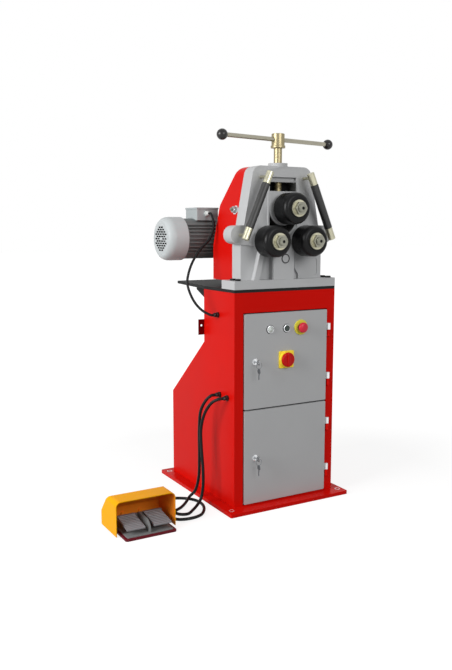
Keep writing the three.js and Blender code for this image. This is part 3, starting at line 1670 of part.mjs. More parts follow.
function pedalBase() {
  const half = pedalBaseWidth / 2;
  const plate = rectangle(-half, half, pedalBaseFront, pedalBaseRear, pedalBaseRadius);
  const deckHalf = half - pedalDeckInset;
  const deckFront = pedalBaseFront + pedalDeckInset;
  const deck = rectangle(-deckHalf, deckHalf, deckFront, guardRear - pedalDeckInset, pedalDeckRadius);
  const ears = block(-guardWidth / 2 + guardWall + seat, guardWidth / 2 - guardWall - seat,
    guardEarFront, guardEarRear, guardFoot, pedalBaseThickness);
  const top = pedalBaseThickness + pedalDeckThickness;
  const divider = outline([
    [dividerFront, pedalBaseThickness - weld],
    [dividerRear, pedalBaseThickness - weld],
    [dividerRear, dividerHeight],
    [dividerFront, dividerHeight, dividerHeight - top - 4],
  ]);
  const bracketTop = pivotHeight + pivotWall;
  const bracket = outline([
    [pivotY - pivotWall, pedalBaseThickness - weld],
    [pivotY + pivotWall, pedalBaseThickness - weld],
    [pivotY + pivotWall, bracketTop, pivotRound],
    [pivotY - pivotWall, bracketTop, pivotRound],
  ]);
  const outerWall = treadSpread + treadWidth / 2 + seat * 2;
  const innerWall = treadSpread - treadWidth / 2 - seat * 2;
  const brackets = [
    fromSide(bracket, -outerWall - pivotWall, -outerWall),
    fromSide(bracket, -innerWall, innerWall),
    fromSide(bracket, outerWall, outerWall + pivotWall),
  ];
  const pinReach = outerWall + weld;
  const pin = at(alongX(rod(pivotRadius, -pinReach, pinReach, smallSides)), 0, pivotY, pivotHeight);
  const thin = dividerThickness / 2;
  return join(
    fromAbove(plate, 0, pedalBaseThickness, 2),
    ears,
    fromAbove(deck, pedalBaseThickness - weld, top, 2),
    fromSide(divider, -thin, thin, 8),
    ...brackets,
    pin,
  );
}

// Guard seen from the side: open at the front, kinked down to an upright rear wall
function guardProfile(inset, foot) {
  return outline([
    [guardFront - (inset > 0 ? cutThrough : 0), foot],
    [guardRear - inset, foot],
    [guardRear - inset, guardKink, 12],
    [guardTopRear - inset, guardHeight - inset, guardRadius],
    [guardFront - (inset > 0 ? cutThrough : 0), guardHeight - inset],
  ]);
}

function guardForm(inset, foot) {
  const half = guardWidth / 2 - inset;
  const rounding = guardRadius - inset;
  const front = guardFront - (inset > 0 ? cutThrough : 0);
  const arch = outline([[-half, foot], [half, foot], [half, guardHeight - inset, rounding],
    [-half, guardHeight - inset, rounding]]);
  const side = fromSide(guardProfile(inset, foot), -half, half, 5);
  return fromFront(arch, front, guardRear - inset, 5).intersect(side);
}

function pedalGuard() {
  const shell = cut(guardForm(0, guardFoot), guardForm(guardWall, guardFoot - cutThrough));
  const sill = block(-pedalBaseWidth / 2 - seat, pedalBaseWidth / 2 + seat,
    guardRear - guardWall - cutThrough, guardRear + cutThrough, 0, pedalBaseThickness + seat);
  const nipples = pedalGlandXs.map((x) => {
    return at(gland().rotate([0, 0, halfTurn]), x - pedalX, guardRear, pedalGlandHeight);
  });
  return join(cut(shell, sill), ...nipples);
}

// A tread: a sloping plate with cross ribs and a sleeve on the pivot pin
function tread() {
  const half = treadWidth / 2;
  const plate = outline([
    [treadFront, treadFrontHeight - treadThickness],
    [treadRear, treadRearHeight - treadThickness],
    [treadRear, treadRearHeight],
    [treadFront, treadFrontHeight, 2],
  ]);
  const parts = [fromSide(plate, -half, half, 3)];
  const slope = (treadRearHeight - treadFrontHeight) / (treadRear - treadFront);
  const pitch = (treadRear - treadFront) / (treadRibs + 1);
  for (let index = 1; index <= treadRibs; index += 1) {
    const y = treadFront + index * pitch;
    const z = treadFrontHeight + (y - treadFront) * slope;
    const ridge = outline([
      [y - pitch / 4, z - weld],
      [y + pitch / 4, z - weld],
      [y + pitch / 6, z + treadRibHeight],
      [y - pitch / 6, z + treadRibHeight],
    ]);
    parts.push(fromSide(ridge, -half + treadRibInset, half - treadRibInset));
  }
  const sleeve = at(alongX(rod(treadSleeveRadius, -half, half, smallSides)), 0, pivotY, pivotHeight);
  const bore = at(alongX(rod(pivotRadius + runningFit, -half - cutThrough, half + cutThrough, smallSides)),
    0, pivotY, pivotHeight);
  return cut(join(...parts, sleeve), bore);
}

add(pedal, 'pedal_base', pedalBase(), finishes.pedalGrey);
add(pedal, 'pedal_guard', pedalGuard(), finishes.guardYellow);
addAt(pedal, 'left_pedal', tread(), finishes.pedalGrey, -treadSpread, 0, 0);
addAt(pedal, 'right_pedal', tread(), finishes.pedalGrey, treadSpread, 0, 0);

// A cable gland, drawn about Y and pointing along -Y, with its stub behind the wall
function gland() {
  const nose = turned([
    [0, -glandHexLength - glandNoseLength],
    [glandNoseRadius * glandTipShare, -glandHexLength - glandNoseLength],
    [glandNoseRadius, -glandHexLength - glandNoseLength * 0.6],
    [glandNoseRadius, -glandHexLength + weld],
    [0, -glandHexLength + weld],
  ], smallSides);
  const hex = fromFront(hexagon(0, 0, glandHexAcross), -glandHexLength, -seat);
  return join(nose, hex, rod(glandStubRadius, -seat - weld, glandStubLength, smallSides));
}

for (const [name, y, z] of cabinetGlands) {
  addAt(machine, name, gland().rotate([0, 0, -90]), finishes.blackPlastic, -cabinetHalfWidth, y, z);
}

// A cable: a faceted tube along a smooth curve through points chosen by hand
function cable(points, radius) {
  const knots = points.map((point) => new THREE.Vector3(...point));
  const curve = new THREE.CatmullRomCurve3(knots, false, 'centripetal');
  const length = curve.getLength();
  const steps = Math.round(length / (2 * radius * cableStepDiameters));
  const section = new THREE.Shape();
  for (let side = 0; side < cableSides; side += 1) {
    const angle = ((side + 0.5) * Math.PI * 2) / cableSides;
    const x = radius * Math.cos(angle);
    const y = radius * Math.sin(angle);
    if (side === 0) section.moveTo(x, y);
    else section.lineTo(x, y);
  }
  const geometry = new THREE.ExtrudeGeometry(section, { steps, extrudePath: curve, bevelEnabled: false });
  console.log(`cable of ${length.toFixed(0)} mm in ${steps} steps`);
  return solid(geometry);
}

const cabinetTip = -cabinetHalfWidth - glandReach;
const pedalTip = guardRear + glandReach;
const terminalTipY = gearboxY - terminalHalfDepth - glandReach;
const terminalTipZ = deckHeight + motorHeight + motorShellRadius + terminalGlandLift;

const onFloor = pedalCableRadius + floorLift;

// Free route points give the distance out from the cabinet's left side, then y and z
function fromCabinet(points) {
  return points.map(([out, y, z]) => [-cabinetHalfWidth - out, y, z]);
}

const motorCableRoute = [
  [terminalGlandX, terminalTipY, terminalTipZ],
  [terminalGlandX, terminalTipY - 6, terminalTipZ],
  [terminalGlandX, terminalTipY - 14, terminalTipZ - 1],
  ...fromCabinet([
    [-46, -12, 1135],
    [-38, -29, 1098],
    [-12, -40, 1053],
    [18, -44, 1028],
    [50, -50, 995],
    [76, -56, 957],
    [93, -62, 918],
    [100, -68, 890],
    [98.5, -78, 861],
    [88, -94, 823],
    [72, -111, 794],
    [53, -128, 775],
  ]),
  [cabinetTip - 7, motorGlandY, motorGlandHeight],
  [cabinetTip, motorGlandY, motorGlandHeight],
];

const [leftEntry, rightEntry] = pedalGlandXs.map((x) => [
  [x, pedalTip + glandReach, pedalGlandHeight - pedalCableRadius / 3],
  [x, pedalTip + glandReach / 3, pedalGlandHeight],
  [x, pedalTip, pedalGlandHeight],
]);

const leftCableRoute = [
  [cabinetTip, leftGlandY, leftGlandHeight],
  [cabinetTip - 7, leftGlandY, leftGlandHeight],
  [cabinetTip - 15, leftGlandY + 1, leftGlandHeight - 1],
  ...fromCabinet([
    [55, -138, 430],
    [70, -120, 386],
    [73, -111, 312],
    [73, -111, 200],
    [74, -106, 110],
    [80, -84, 45],
    [98, -72, 21],
    [129, -99, 10],
    [166, -131, onFloor],
    [217, -163, onFloor],
    [243, -192, onFloor],
    [235, -235, onFloor],
    [196, -252, onFloor],
    [140, -243, onFloor],
    [100, -200, onFloor],
    [77, -140, onFloor],
    [82, -84, onFloor],
    [115, -42, onFloor],
    [185, -10, onFloor],
    [285, 8, onFloor],
    [369, 0, onFloor],
    [409, -34, 13],
  ]),
  ...leftEntry,
];

const rightCableRoute = [
  [cabinetTip, rightGlandY, rightGlandHeight],
  [cabinetTip - 7, rightGlandY, rightGlandHeight],
  [cabinetTip - 15, rightGlandY + 2, rightGlandHeight - 1],
  ...fromCabinet([
    [57, -190, 430],
    [71, -158, 386],
    [77, -134, 316],
    [77, -136, 240],
    [76, -147, 150],
    [77, -148, 80],
    [87, -150, 36],
    [110, -166, 20],
    [143, -188, 10],
    [173, -206, onFloor],
    [211, -204, 12],
    [233, -176, 20],
    [239, -134, 13],
    [242, -92, onFloor],
    [263, -44, onFloor],
    [305, -26, onFloor],
    [337, -50, 16],
  ]),
  ...rightEntry,
];

add(machine, 'motor_cable', cable(motorCableRoute, motorCableRadius), finishes.rubber);
add(machine, 'left_pedal_cable', cable(leftCableRoute, pedalCableRadius), finishes.rubber);
add(machine, 'right_pedal_cable', cable(rightCableRoute, pedalCableRadius), finishes.rubber);

export default machine;
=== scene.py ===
# %% [markdown]
# A ring roller bends bars and sections into rings. This lesson dresses a finished CAD frame
# of one: every piece sits where the frame says, and gets its real surface and paint.
# Lengths are in metres, Z is up and the machine's front faces -Y.

# %% Load the frame
import json
import math
import bpy
import bmesh
import numpy as np
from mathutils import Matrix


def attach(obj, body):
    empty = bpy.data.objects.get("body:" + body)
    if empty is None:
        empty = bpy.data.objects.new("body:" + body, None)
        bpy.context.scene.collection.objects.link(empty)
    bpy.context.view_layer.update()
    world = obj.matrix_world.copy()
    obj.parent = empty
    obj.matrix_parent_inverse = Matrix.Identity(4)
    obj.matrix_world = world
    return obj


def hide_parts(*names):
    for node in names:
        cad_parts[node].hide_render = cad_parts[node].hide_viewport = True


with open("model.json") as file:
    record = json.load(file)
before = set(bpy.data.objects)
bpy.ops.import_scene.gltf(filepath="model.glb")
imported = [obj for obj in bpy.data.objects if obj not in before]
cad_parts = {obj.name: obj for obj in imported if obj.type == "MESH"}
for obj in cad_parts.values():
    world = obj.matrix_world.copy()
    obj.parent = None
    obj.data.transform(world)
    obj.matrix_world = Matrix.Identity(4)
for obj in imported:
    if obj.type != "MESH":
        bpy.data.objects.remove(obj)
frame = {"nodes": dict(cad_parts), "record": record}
nodes = frame["nodes"]
record = frame["record"]
body_of_node = {node: body for body, group in record["behaviour"]["bodies"].items() for node in group}
slot_of_node = {part["node"]: part["material_slot"] for part in record["subparts"]}
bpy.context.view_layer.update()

# %% [markdown]
# The camera comes first, because how far a cable may spread depends on what the camera sees.
# Its place was solved from the straight edges of the cabinet, so nothing is fitted by eye.

# %% Camera
LOOKS_DOWN, LOOKS_RIGHT = 8.02, 29.55
scene = bpy.context.scene
camera_data = bpy.data.cameras.new("photo_camera")
camera_data.sensor_width = 36
camera_data.lens = 40.94
camera = bpy.data.objects.new("photo_camera", camera_data)
camera.location = (-1.6712, -2.7315, 1.1018)
camera.rotation_euler = (math.radians(90 - LOOKS_DOWN), 0, math.radians(-LOOKS_RIGHT))
scene.collection.objects.link(camera)
scene.camera = camera
scene.view_settings.view_transform = "Standard"
print("camera at", tuple(camera.location))

# %% [markdown]
# Every new surface here is a grid of points worked out by a formula and given to Blender in
# one go. Blender's own editing tools could draw them too, but a formula can be read and
# changed. Small helpers do the bookkeeping: they number the faces of a grid, make the mesh
# with its normals outwards, and seat the piece on its body.

# %% Grids and meshes
SAME_POINT, SHORTEST_EDGE = 2e-6, 1e-6


def grid_faces(rows, columns, wrap=True, closed=False):
    """Corner numbers of each quad between row i and i+1, column j and j+1. Wrap joins the last
    column to the first one, and closed joins the last row to the first one."""
    row, column = np.meshgrid(np.arange(rows if closed else rows - 1),
                              np.arange(columns if wrap else columns - 1), indexing="ij")
    near, far = row * columns, (row + 1) % rows * columns
    ahead = (column + 1) % columns
    return np.stack([near + column, near + ahead, far + ahead, far + column], -1).reshape(-1, 4)


def end_caps(rows, columns):
    """The first row backwards and the last row, which close the two ends of a tube."""
    last = (rows - 1) * columns
    return [list(range(columns))[::-1], list(range(last, last + columns))]


def smooth_object(name, mesh, angle):
    """An object that is shaded smooth, apart from edges that are sharper than the angle."""
    mesh.polygons.foreach_set("use_smooth", np.ones(len(mesh.polygons), bool))
    mesh.set_sharp_from_angle(angle=math.radians(angle))
    piece = bpy.data.objects.new(name, mesh)
    scene.collection.objects.link(piece)
    return piece


def mesh_piece(name, points, faces, caps=(), angle=32, weighted=True):
    """A mesh object from an array of points, quads, and any closing caps as lists of corners."""
    mesh = bpy.data.meshes.new(name)
    every = np.asarray(faces).tolist() + list(caps)
    mesh.from_pydata(np.asarray(points, float).reshape(-1, 3).tolist(), [], every)
    shape = bmesh.new()
    shape.from_mesh(mesh)
    bmesh.ops.remove_doubles(shape, verts=shape.verts, dist=SAME_POINT)
    bmesh.ops.dissolve_degenerate(shape, edges=shape.edges, dist=SHORTEST_EDGE)
    bmesh.ops.recalc_face_normals(shape, faces=shape.faces)
    shape.to_mesh(mesh)
    shape.free()
    piece = smooth_object(name, mesh, angle)
    if weighted:
        piece.modifiers.new("even_shading", "WEIGHTED_NORMAL").keep_sharp = True
    return piece


dressed = set()


def seat(piece, node, material, replaced=True):
    """Gives a piece its finish and the body of its CAD node, and hides the node if the piece stands for
    it.
    """
    piece.data.materials.clear()
    piece.data.materials.append(material)
    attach(piece, body_of_node[node])
    if replaced:
        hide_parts(node)
        dressed.add(node)
    return piece


def seat_also(piece, node, material):
    """Seats a piece that belongs to a node but doesn't stand for it."""
    seat(piece, node, material, False)


print("grid of 3 x 4 has", len(grid_faces(3, 4)), "faces")

# %% [markdown]
# Rollers, nuts, buttons and knobs are turned on a lathe, so each is one profile spun round an
# axis. A point of the profile is a radius and a distance along the axis. A thread is the same
# surface with a groove that moves along the axis as it goes round. The Screw modifier could
# spin a plain profile; worked out here, one function also gives the threads.

# %% Turned surfaces
UP, BACK, FRONT, LEFT = (0, 0, 1), (0, 1, 0), (0, -1, 0), (-1, 0, 0)
NEARLY_UPRIGHT = 0.9


def full_turn(steps):
    """Even angles t once round, without the last one, which is the first again."""
    return np.linspace(0, 2 * np.pi, steps, endpoint=False)


def arc(centre, radius, turn):
    """Points at centre + radius * (cos t, sin t); a pair of radii gives an ellipse."""
    return centre + radius * np.stack([np.cos(turn), np.sin(turn)], -1)


def across(along):
    """A direction at unit length, and two unit vectors square to it and to each other."""
    along = np.asarray(along, float) / np.linalg.norm(along)
    first = np.cross(UP if abs(along[2]) < NEARLY_UPRIGHT else (1, 0, 0), along)
    first /= np.linalg.norm(first)
    return along, first, np.cross(along, first)


def spun(name, radii, heights, centre, along, closed, angle):
    """Row i, column j lies at centre + height*along + radius*(cos t * first + sin t * second)."""
    along, first, second = across(along)
    rows, columns = radii.shape
    turn = full_turn(columns)
    ring = np.cos(turn)[:, None] * first + np.sin(turn)[:, None] * second
    points = np.asarray(centre, float) + heights[..., None] * along + radii[..., None] * ring
    return mesh_piece(name, points, grid_faces(rows, columns, closed=closed), angle=angle)


def turned(name, profile, centre, along=BACK, columns=72, angle=32, thread=None):
    """A spun profile of (r, a). In a thread (low, high, pitch, depth) the radius drops by depth
    times a flat-topped wave of a/pitch - t/2pi, which dies away over half a pitch at each end."""
    profile = np.asarray(profile, float)
    closed = np.allclose(profile[0], profile[-1])
    if closed:
        profile = profile[:-1]
    radii, heights = profile[:, :1] * np.ones(columns), profile[:, 1:] * np.ones(columns)
    if thread:
        low, high, pitch, depth = thread
        share = np.arange(columns) / columns
        wave = np.clip(2 * np.abs(2 * np.mod(heights / pitch - share, 1) - 1) - 0.5, 0, 1)
        fade = np.clip(np.minimum(heights - low, high - heights) / (pitch / 2), 0, 1)
        radii = radii - depth * wave * fade
    return spun(name, radii, heights, centre, along, closed, angle)


def threaded_run(radius, low, high, pitch, per_turn=8):
    """The rows of a straight stretch of profile that is to carry a thread."""
    rows = max(int(round((high - low) / pitch * per_turn)), 2)
    return np.stack([np.full(rows, radius), np.linspace(low, high, rows)], -1)


print("turning helper ready")

# %% [markdown]
# Nuts and glands have a hexagon between round faces. A cylinder of six sides with a bevel
# comes close, but its corners are cut straight. A nut's corners are chamfered by a cone, so
# they end in curves, and the spinning helper gives these when the radius follows the flats.

# %% Hexagons
CHAMFER_START, CHAMFER_SLOPE = 0.97, 0.55


def hexagon_head(name, centre, along, across_flats, low, high, bore=0.0, columns=72):
    """Hexagon radius half/cos(t folded into 60 degrees). Outside the circle where the chamfer
    starts, the end face falls by the slope times the extra radius, as a nut's corners do."""
    half = across_flats / 2
    reach = half / np.cos(np.mod(full_turn(columns), np.pi / 3) - np.pi / 6)
    even, flat = np.ones(columns), half * CHAMFER_START
    fall = CHAMFER_SLOPE * (reach - flat)
    radii = np.stack([bore * even, reach, reach, flat * even, bore * even])
    heights = np.stack([low * even, low * even, high - fall, high * even, high * even])
    return spun(name, radii, heights, centre, along, bore > 0, 25)


print("hexagon helper ready")

# %% [markdown]
# The switch's grip, the spare keys and the sealing strips are an outline given a thickness.
# Their edges are eased by drawing the outline a little smaller at each face, along a quarter
# circle. Solidify and Bevel modifiers could do the same in two steps, and this is one.

# %% Eased plates
LEAST_SHARE = 0.2


def inset(outline, amount):
    """Moves each corner inwards so that both of its sides move by the amount."""
    before = outline - np.roll(outline, 1, axis=0)
    after = np.roll(outline, -1, axis=0) - outline
    unit = [way / np.linalg.norm(way, axis=1, keepdims=True) for way in (before, after)]
    left = [np.stack([-way[:, 1], way[:, 0]], -1) for way in unit]
    share = 1 + np.sum(left[0] * left[1], axis=1, keepdims=True)
    return outline + amount * (left[0] + left[1]) / np.maximum(share, LEAST_SHARE)


VIEWS = {"front": lambda a, b, depth: (a, depth, b), "side": lambda a, b, depth: (depth, a, b)}


def eased_plate(name, outline, low, high, view, edge=0.0015, steps=3):
    """Rings of the outline at depths low to high; near each face they shrink by edge*(1-sin u)."""
    a, b = np.asarray(outline, float).T
    area = np.sum(a * np.roll(b, -1) - b * np.roll(a, -1))
    outline = np.stack([a, b], -1)[::-1 if area < 0 else 1]
    u = np.linspace(0, np.pi / 2, steps + 1)
    ease = np.stack([edge * (1 - np.sin(u)), edge * (1 - np.cos(u))], -1)
    head = [(low + dz, shrink) for shrink, dz in ease]
    tail = [(high - dz, shrink) for shrink, dz in ease[::-1]]
    rings = []
    for depth, shrink in head + tail:
        ring = inset(outline, shrink)
        rings.append(np.stack(VIEWS[view](ring[:, 0], ring[:, 1], np.full(len(ring), depth)), -1))
    rows, columns = len(rings), len(outline)
    return mesh_piece(name, np.vstack(rings), grid_faces(rows, columns), end_caps(rows, columns))


CORNER_STEPS = 6


def rounded_box(left, right, low, high, radius=0.0):
    """A rectangle's outline whose corners are quarter circles."""
    if radius == 0:
        return np.array([(left, low), (right, low), (right, high), (left, high)], float)
    turn = np.linspace(0, np.pi / 2, CORNER_STEPS + 1)
    corners = [(right - radius, high - radius, 0), (left + radius, high - radius, 1),
               (left + radius, low + radius, 2), (right - radius, low + radius, 3)]
    return np.vstack([arc((a, b), radius, turn + quarter * np.pi / 2) for a, b, quarter in corners])


print("plate helper ready")

# %% [markdown]
# Castings and folded sheets already have the right form but knife edges. Modelled anew, a
# hole or pocket could end up in another place, so a copy of such a piece is merged instead,
# its flat faces are joined again, and a bevel eases each real edge.

# %% Eased copies of frame pieces
SAME_CORNER, FLAT_WITHIN, SHARP_ABOVE = 1e-5, 0.6, 30


def eased_copy(node, width):
    """A merged copy of a CAD node, every real edge of which is rounded by the width."""
    mesh = nodes[node].data.copy()
    shape = bmesh.new()
    shape.from_mesh(mesh)
    bmesh.ops.remove_doubles(shape, verts=shape.verts, dist=SAME_CORNER)
    bmesh.ops.dissolve_limit(shape, angle_limit=math.radians(FLAT_WITHIN), verts=shape.verts,
                             edges=shape.edges)
    shape.to_mesh(mesh)
    shape.free()
    piece = smooth_object(f"{node}_dressed", mesh, SHARP_ABOVE)
    bevel = piece.modifiers.new("eased_edges", "BEVEL")
    bevel.limit_method = "ANGLE"
    bevel.angle_limit = math.radians(SHARP_ABOVE)
    bevel.width = width
    bevel.segments = 2
    bevel.use_clamp_overlap = True
    bevel.harden_normals = True
    return piece


print("copy helper ready")

# %% [markdown]
# A finish is a shader with a little life in it. One even colour would look like a toy, and a
# painted image would need its seams hidden. So a noise in space lets the colour drift and
# the gloss vary, and a fine bump breaks up the highlight. A finish may also change colour
# inside a box, or on the faces that look inwards, and for some pieces that colour is painted
# shade. Photographs give colours as 0 to 255
# numbers with a display curve, so they are first turned into plain light values.

# %% Finishes
def light_value(*colour):
    """A display colour of 0 to 255 as linear light, with full alpha: the display curve is straight
    at the dark end and ((share + 0.055) / 1.055) to the power of 2.4 above it."""
    share = np.array(colour, float) / 255
    linear = np.where(share <= 0.04045, share / 12.92, ((share + 0.055) / 1.055) ** 2.4)
    return (*linear.tolist(), 1.0)


def feed(tree, node, inputs):
    """Sets each input of a node to its constant, or links it to the output given for it."""
    for socket, value in inputs.items():
        if isinstance(value, bpy.types.NodeSocket):
            tree.links.new(value, node.inputs[socket])
        else:
            node.inputs[socket].default_value = value


def add_node(tree, kind, inputs, operation=None):
    """Adds a fed node to a shader's tree and gives its outputs."""
    added = tree.nodes.new(kind)
    if operation:
        added.operation = operation
    feed(tree, added, inputs)
    return added.outputs


def tinted(tree, colour_out, factor, colour):
    """Mixes another colour in where the factor is 1."""
    mix = tree.nodes.new("ShaderNodeMix")
    mix.data_type = "RGBA"
    feed(tree, mix, {"Factor": factor, "A": colour_out, "B": light_value(*colour)})
    return mix.outputs["Result"]


def inside_box(tree, place, low_corner, high_corner):
    """1 where the largest part of |point - centre| / half size is under 1, otherwise 0."""
    centre, half_size = np.add(low_corner, high_corner) / 2, np.subtract(high_corner, low_corner) / 2
    for operation, inputs in (("SUBTRACT", {1: centre}), ("ABSOLUTE", {}), ("DIVIDE", {1: half_size})):
        place = add_node(tree, "ShaderNodeVectorMath", {0: place, **inputs}, operation)["Vector"]
    parts = add_node(tree, "ShaderNodeSeparateXYZ", {"Vector": place})
    widest = parts["X"]
    for axis in "YZ":
        widest = add_node(tree, "ShaderNodeMath", {0: widest, 1: parts[axis]}, "MAXIMUM")["Value"]
    return add_node(tree, "ShaderNodeMath", {0: widest, 1: 1}, "LESS_THAN")["Value"]


RAMP_ENDS, CLOUD_DETAIL, GRAIN_DETAIL, GRAIN_DEPTH, SMOOTHEST = (0.18, 0.82), 5, 3, 0.0006, 0.02


def finish(name, colour, rough=0.4, metal=0.0, shine=0.5, drift=0.08, drift_scale=6, rough_drift=0.08,
           grain=0.1, grain_scale=400, stretch=(1, 1, 1), patch=None, inner=None):
    """A shader whose colour, roughness and bump each follow a noise on the piece's own coordinates.
    A patch (low corner, high corner, colour) gives whatever lies in that box another colour, a second
    paint or painted shade, and inner paints a shade colour on the faces that carry the attribute of
    that name."""
    material = bpy.data.materials.new(name)
    material.use_nodes = True
    tree = material.node_tree
    place = tree.nodes.new("ShaderNodeTexCoord").outputs["Object"]
    scaled = add_node(tree, "ShaderNodeMapping", {"Vector": place, "Scale": stretch})["Vector"]
    cloud = add_node(tree, "ShaderNodeTexNoise", {
        "Vector": scaled, "Scale": drift_scale, "Detail": CLOUD_DETAIL})["Fac"]
    ramp = tree.nodes.new("ShaderNodeValToRGB")
    feed(tree, ramp, {"Fac": cloud})
    base = np.array(light_value(*colour)[:3])
    for stop, position, share in zip(ramp.color_ramp.elements, RAMP_ENDS, (1 - drift, 1 + drift)):
        stop.position = position
        stop.color = (*np.minimum(base * share, 1), 1)
    colour_out = ramp.outputs["Color"]
    if patch:
        low_corner, high_corner, patch_colour = patch
        inside = inside_box(tree, place, low_corner, high_corner)
        colour_out = tinted(tree, colour_out, inside, patch_colour)
    if inner:
        mark = tree.nodes.new("ShaderNodeAttribute")
        mark.attribute_name = "inner"
        colour_out = tinted(tree, colour_out, mark.outputs["Fac"], inner)
    gloss = add_node(tree, "ShaderNodeMapRange", {
        "Value": cloud, "To Min": max(rough - rough_drift, SMOOTHEST),
        "To Max": min(rough + rough_drift, 1)})["Result"]
    fine = add_node(tree, "ShaderNodeTexNoise", {
        "Vector": scaled, "Scale": grain_scale, "Detail": GRAIN_DETAIL})["Fac"]
    bump = add_node(tree, "ShaderNodeBump", {
        "Height": fine, "Strength": grain, "Distance": GRAIN_DEPTH})["Normal"]
    feed(tree, tree.nodes["Principled BSDF"], {
        "Metallic": metal, "Specular IOR Level": shine, "Base Color": colour_out, "Roughness": gloss,
        "Normal": bump})
    return material


print("finish helper ready")

# %% [markdown]
# Every paint, plating and plastic of the machine gets one finish. The colours were set by
# laying renders beside the photograph. Three pieces change colour inside a box: the fixing
# lug gets a darker red as painted shade, the casting gets painted shade inside its slot, and
# the pedals' base has a dark red edge near the floor, which is a second paint. Last, each
# slot of the frame names its usual finish.

# %% Paints, platings and plastics
# The lug's darker red is painted shade, not a paint of its own.
LUG_SHADE_BOX = ((-0.30, -0.05, 0.64), (-0.2365, 0.01, 0.76))
# Inside the casting's slot the grey is darkened as painted shade.
SLOT_SHADE_BOX = ((-0.068, -0.2262, 1.06), (0.068, -0.170, 1.2772))
PEDAL_EDGE_BOX = ((-0.80, -0.45, -0.01), (-0.45, 0.10, 0.0081))
RED_GLOSS = {"colour": (204, 16, 8), "rough": 0.35, "shine": 0.05, "drift": 0.05,
             "rough_drift": 0.05, "grain_scale": 240}
red_paint = finish("red_gloss_paint", **RED_GLOSS)
shell_paint = finish("red_paint_with_painted_lug_shade", **RED_GLOSS, patch=(*LUG_SHADE_BOX, (104, 4, 8)))
door_paint = finish("grey_door_paint", (174, 175, 176), 0.42, shine=0.25, drift=0.025, grain=0.2,
                    grain_scale=420)
# The casting's grey is darkened inside the slot box as painted shade.
cast_paint = finish("grey_casting_paint_with_painted_slot_shade", (182, 183, 184), 0.48, shine=0.2, drift=0.045, drift_scale=9,
                    grain=0.5, grain_scale=150, patch=(*SLOT_SHADE_BOX, (78, 78, 76)))
dark_paint = finish("dark_plate_paint", (30, 31, 31), 0.6, shine=0.1, drift=0.14, grain=0.25)
black_steel = finish("blackened_steel", (19, 19, 20), 0.3, metal=0.1, shine=0.16, drift=0.25,
                     drift_scale=14, rough_drift=0.1, grain=0.2, grain_scale=500, stretch=(1, 8, 1))
sleeve_steel = finish("blackened_sleeve", (50, 50, 50), 0.36, shine=0.35, drift=0.16, drift_scale=24,
                      rough_drift=0.1, grain=0.3, grain_scale=380)
zinc = finish("yellow_zinc", (186, 183, 160), 0.3, metal=0.8, drift=0.14, drift_scale=30, rough_drift=0.1)
nut_zinc = finish("zinc_nut", (146, 145, 132), 0.24, metal=0.9, drift=0.18, drift_scale=50,
                  rough_drift=0.1)
brass_zinc = finish("brassy_zinc", (148, 137, 106), 0.34, metal=0.8, drift=0.1, drift_scale=14,
                    rough_drift=0.05, grain=0.04)
nickel = finish("nickel_bar", (162, 158, 142), 0.3, metal=0.8, drift=0.12, drift_scale=18)
bare_steel = finish("turned_steel", (160, 162, 164), 0.32, metal=0.85, drift=0.12, drift_scale=30,
                    rough_drift=0.12)
key_steel = finish("worn_key", (112, 116, 120), 0.34, metal=0.7, drift=0.1)
shaft_steel = finish("turned_shaft_end", (134, 134, 122), 0.3, metal=0.85, drift=0.2, drift_scale=60)
bright_chrome = finish("bright_bezel", (222, 224, 226), 0.22, metal=0.9, drift=0.05, drift_scale=40)
black_plastic = finish("black_moulding", (20, 19, 19), 0.26, shine=0.4, drift=0.1, grain=0.06)
# One black for real trim such as gaskets and the emblem ring, and for painted shade in holes, gaps and the
# guideway.
deep_black = finish("black_trim_and_painted_shade", (9, 9, 10), 0.7, shine=0.1, drift=0.1)
red_plastic = finish("red_moulding", (190, 8, 8), 0.34, shine=0.18, drift=0.05)
crimson_plastic = finish("crimson_moulding", (206, 34, 58), 0.34, shine=0.3, drift=0.05)
# A darker copy of the mushroom's red, as painted shade under its head.
stem_plastic = finish("red_moulding_in_painted_shade", (120, 16, 30), 0.4, shine=0.2, drift=0.05)
lemon_plastic = finish("lemon_moulding", (222, 214, 72), 0.38, shine=0.2, drift=0.04)
yellow_plastic = finish("yellow_moulding", (252, 222, 64), 0.38, shine=0.2, drift=0.05)
green_plastic = finish("dark_green_moulding", (30, 46, 42), 0.3)
lamp_lens = finish("lamp_lens", (186, 192, 188), 0.22, drift=0.2, drift_scale=170, grain=1.0,
                   grain_scale=300)
# The guard's inward faces get a deeper orange as painted shade.
guard_paint = finish("yellow_guard_paint_with_painted_inner_shade", (240, 168, 10), 0.42, shine=0.04, drift=0.05, grain=0.3,
                     grain_scale=220, inner=(255, 146, 40))
pedal_alloy = finish("pedal_alloy", (130, 128, 131), 0.5, metal=0.2, drift=0.12, grain=0.3)
pedal_floor = finish("pedal_deck", (118, 120, 120), 0.55, shine=0.2, drift=0.14, grain=0.4,
                     patch=(*PEDAL_EDGE_BOX, (96, 10, 26)))
motor_grey = finish("motor_grey", (118, 123, 123), 0.5, shine=0.12, drift=0.06, grain=0.25,
                    grain_scale=240)
box_grey = finish("terminal_box_grey", (168, 174, 175), 0.5, shine=0.1, drift=0.05, grain=0.2)
motor_light = finish("light_motor_paint", (182, 187, 188), 0.4, shine=0.2, drift=0.06, grain=0.3)
pale_gland = finish("pale_gland", (205, 208, 206), 0.34, drift=0.05)
cable_rubber = finish("cable_rubber", (17, 18, 19), 0.42, shine=0.16, drift=0.12, grain_scale=700)
panel_zinc = finish("zinc_sheet", (188, 192, 188), 0.4, metal=0.6, drift=0.1, drift_scale=20)
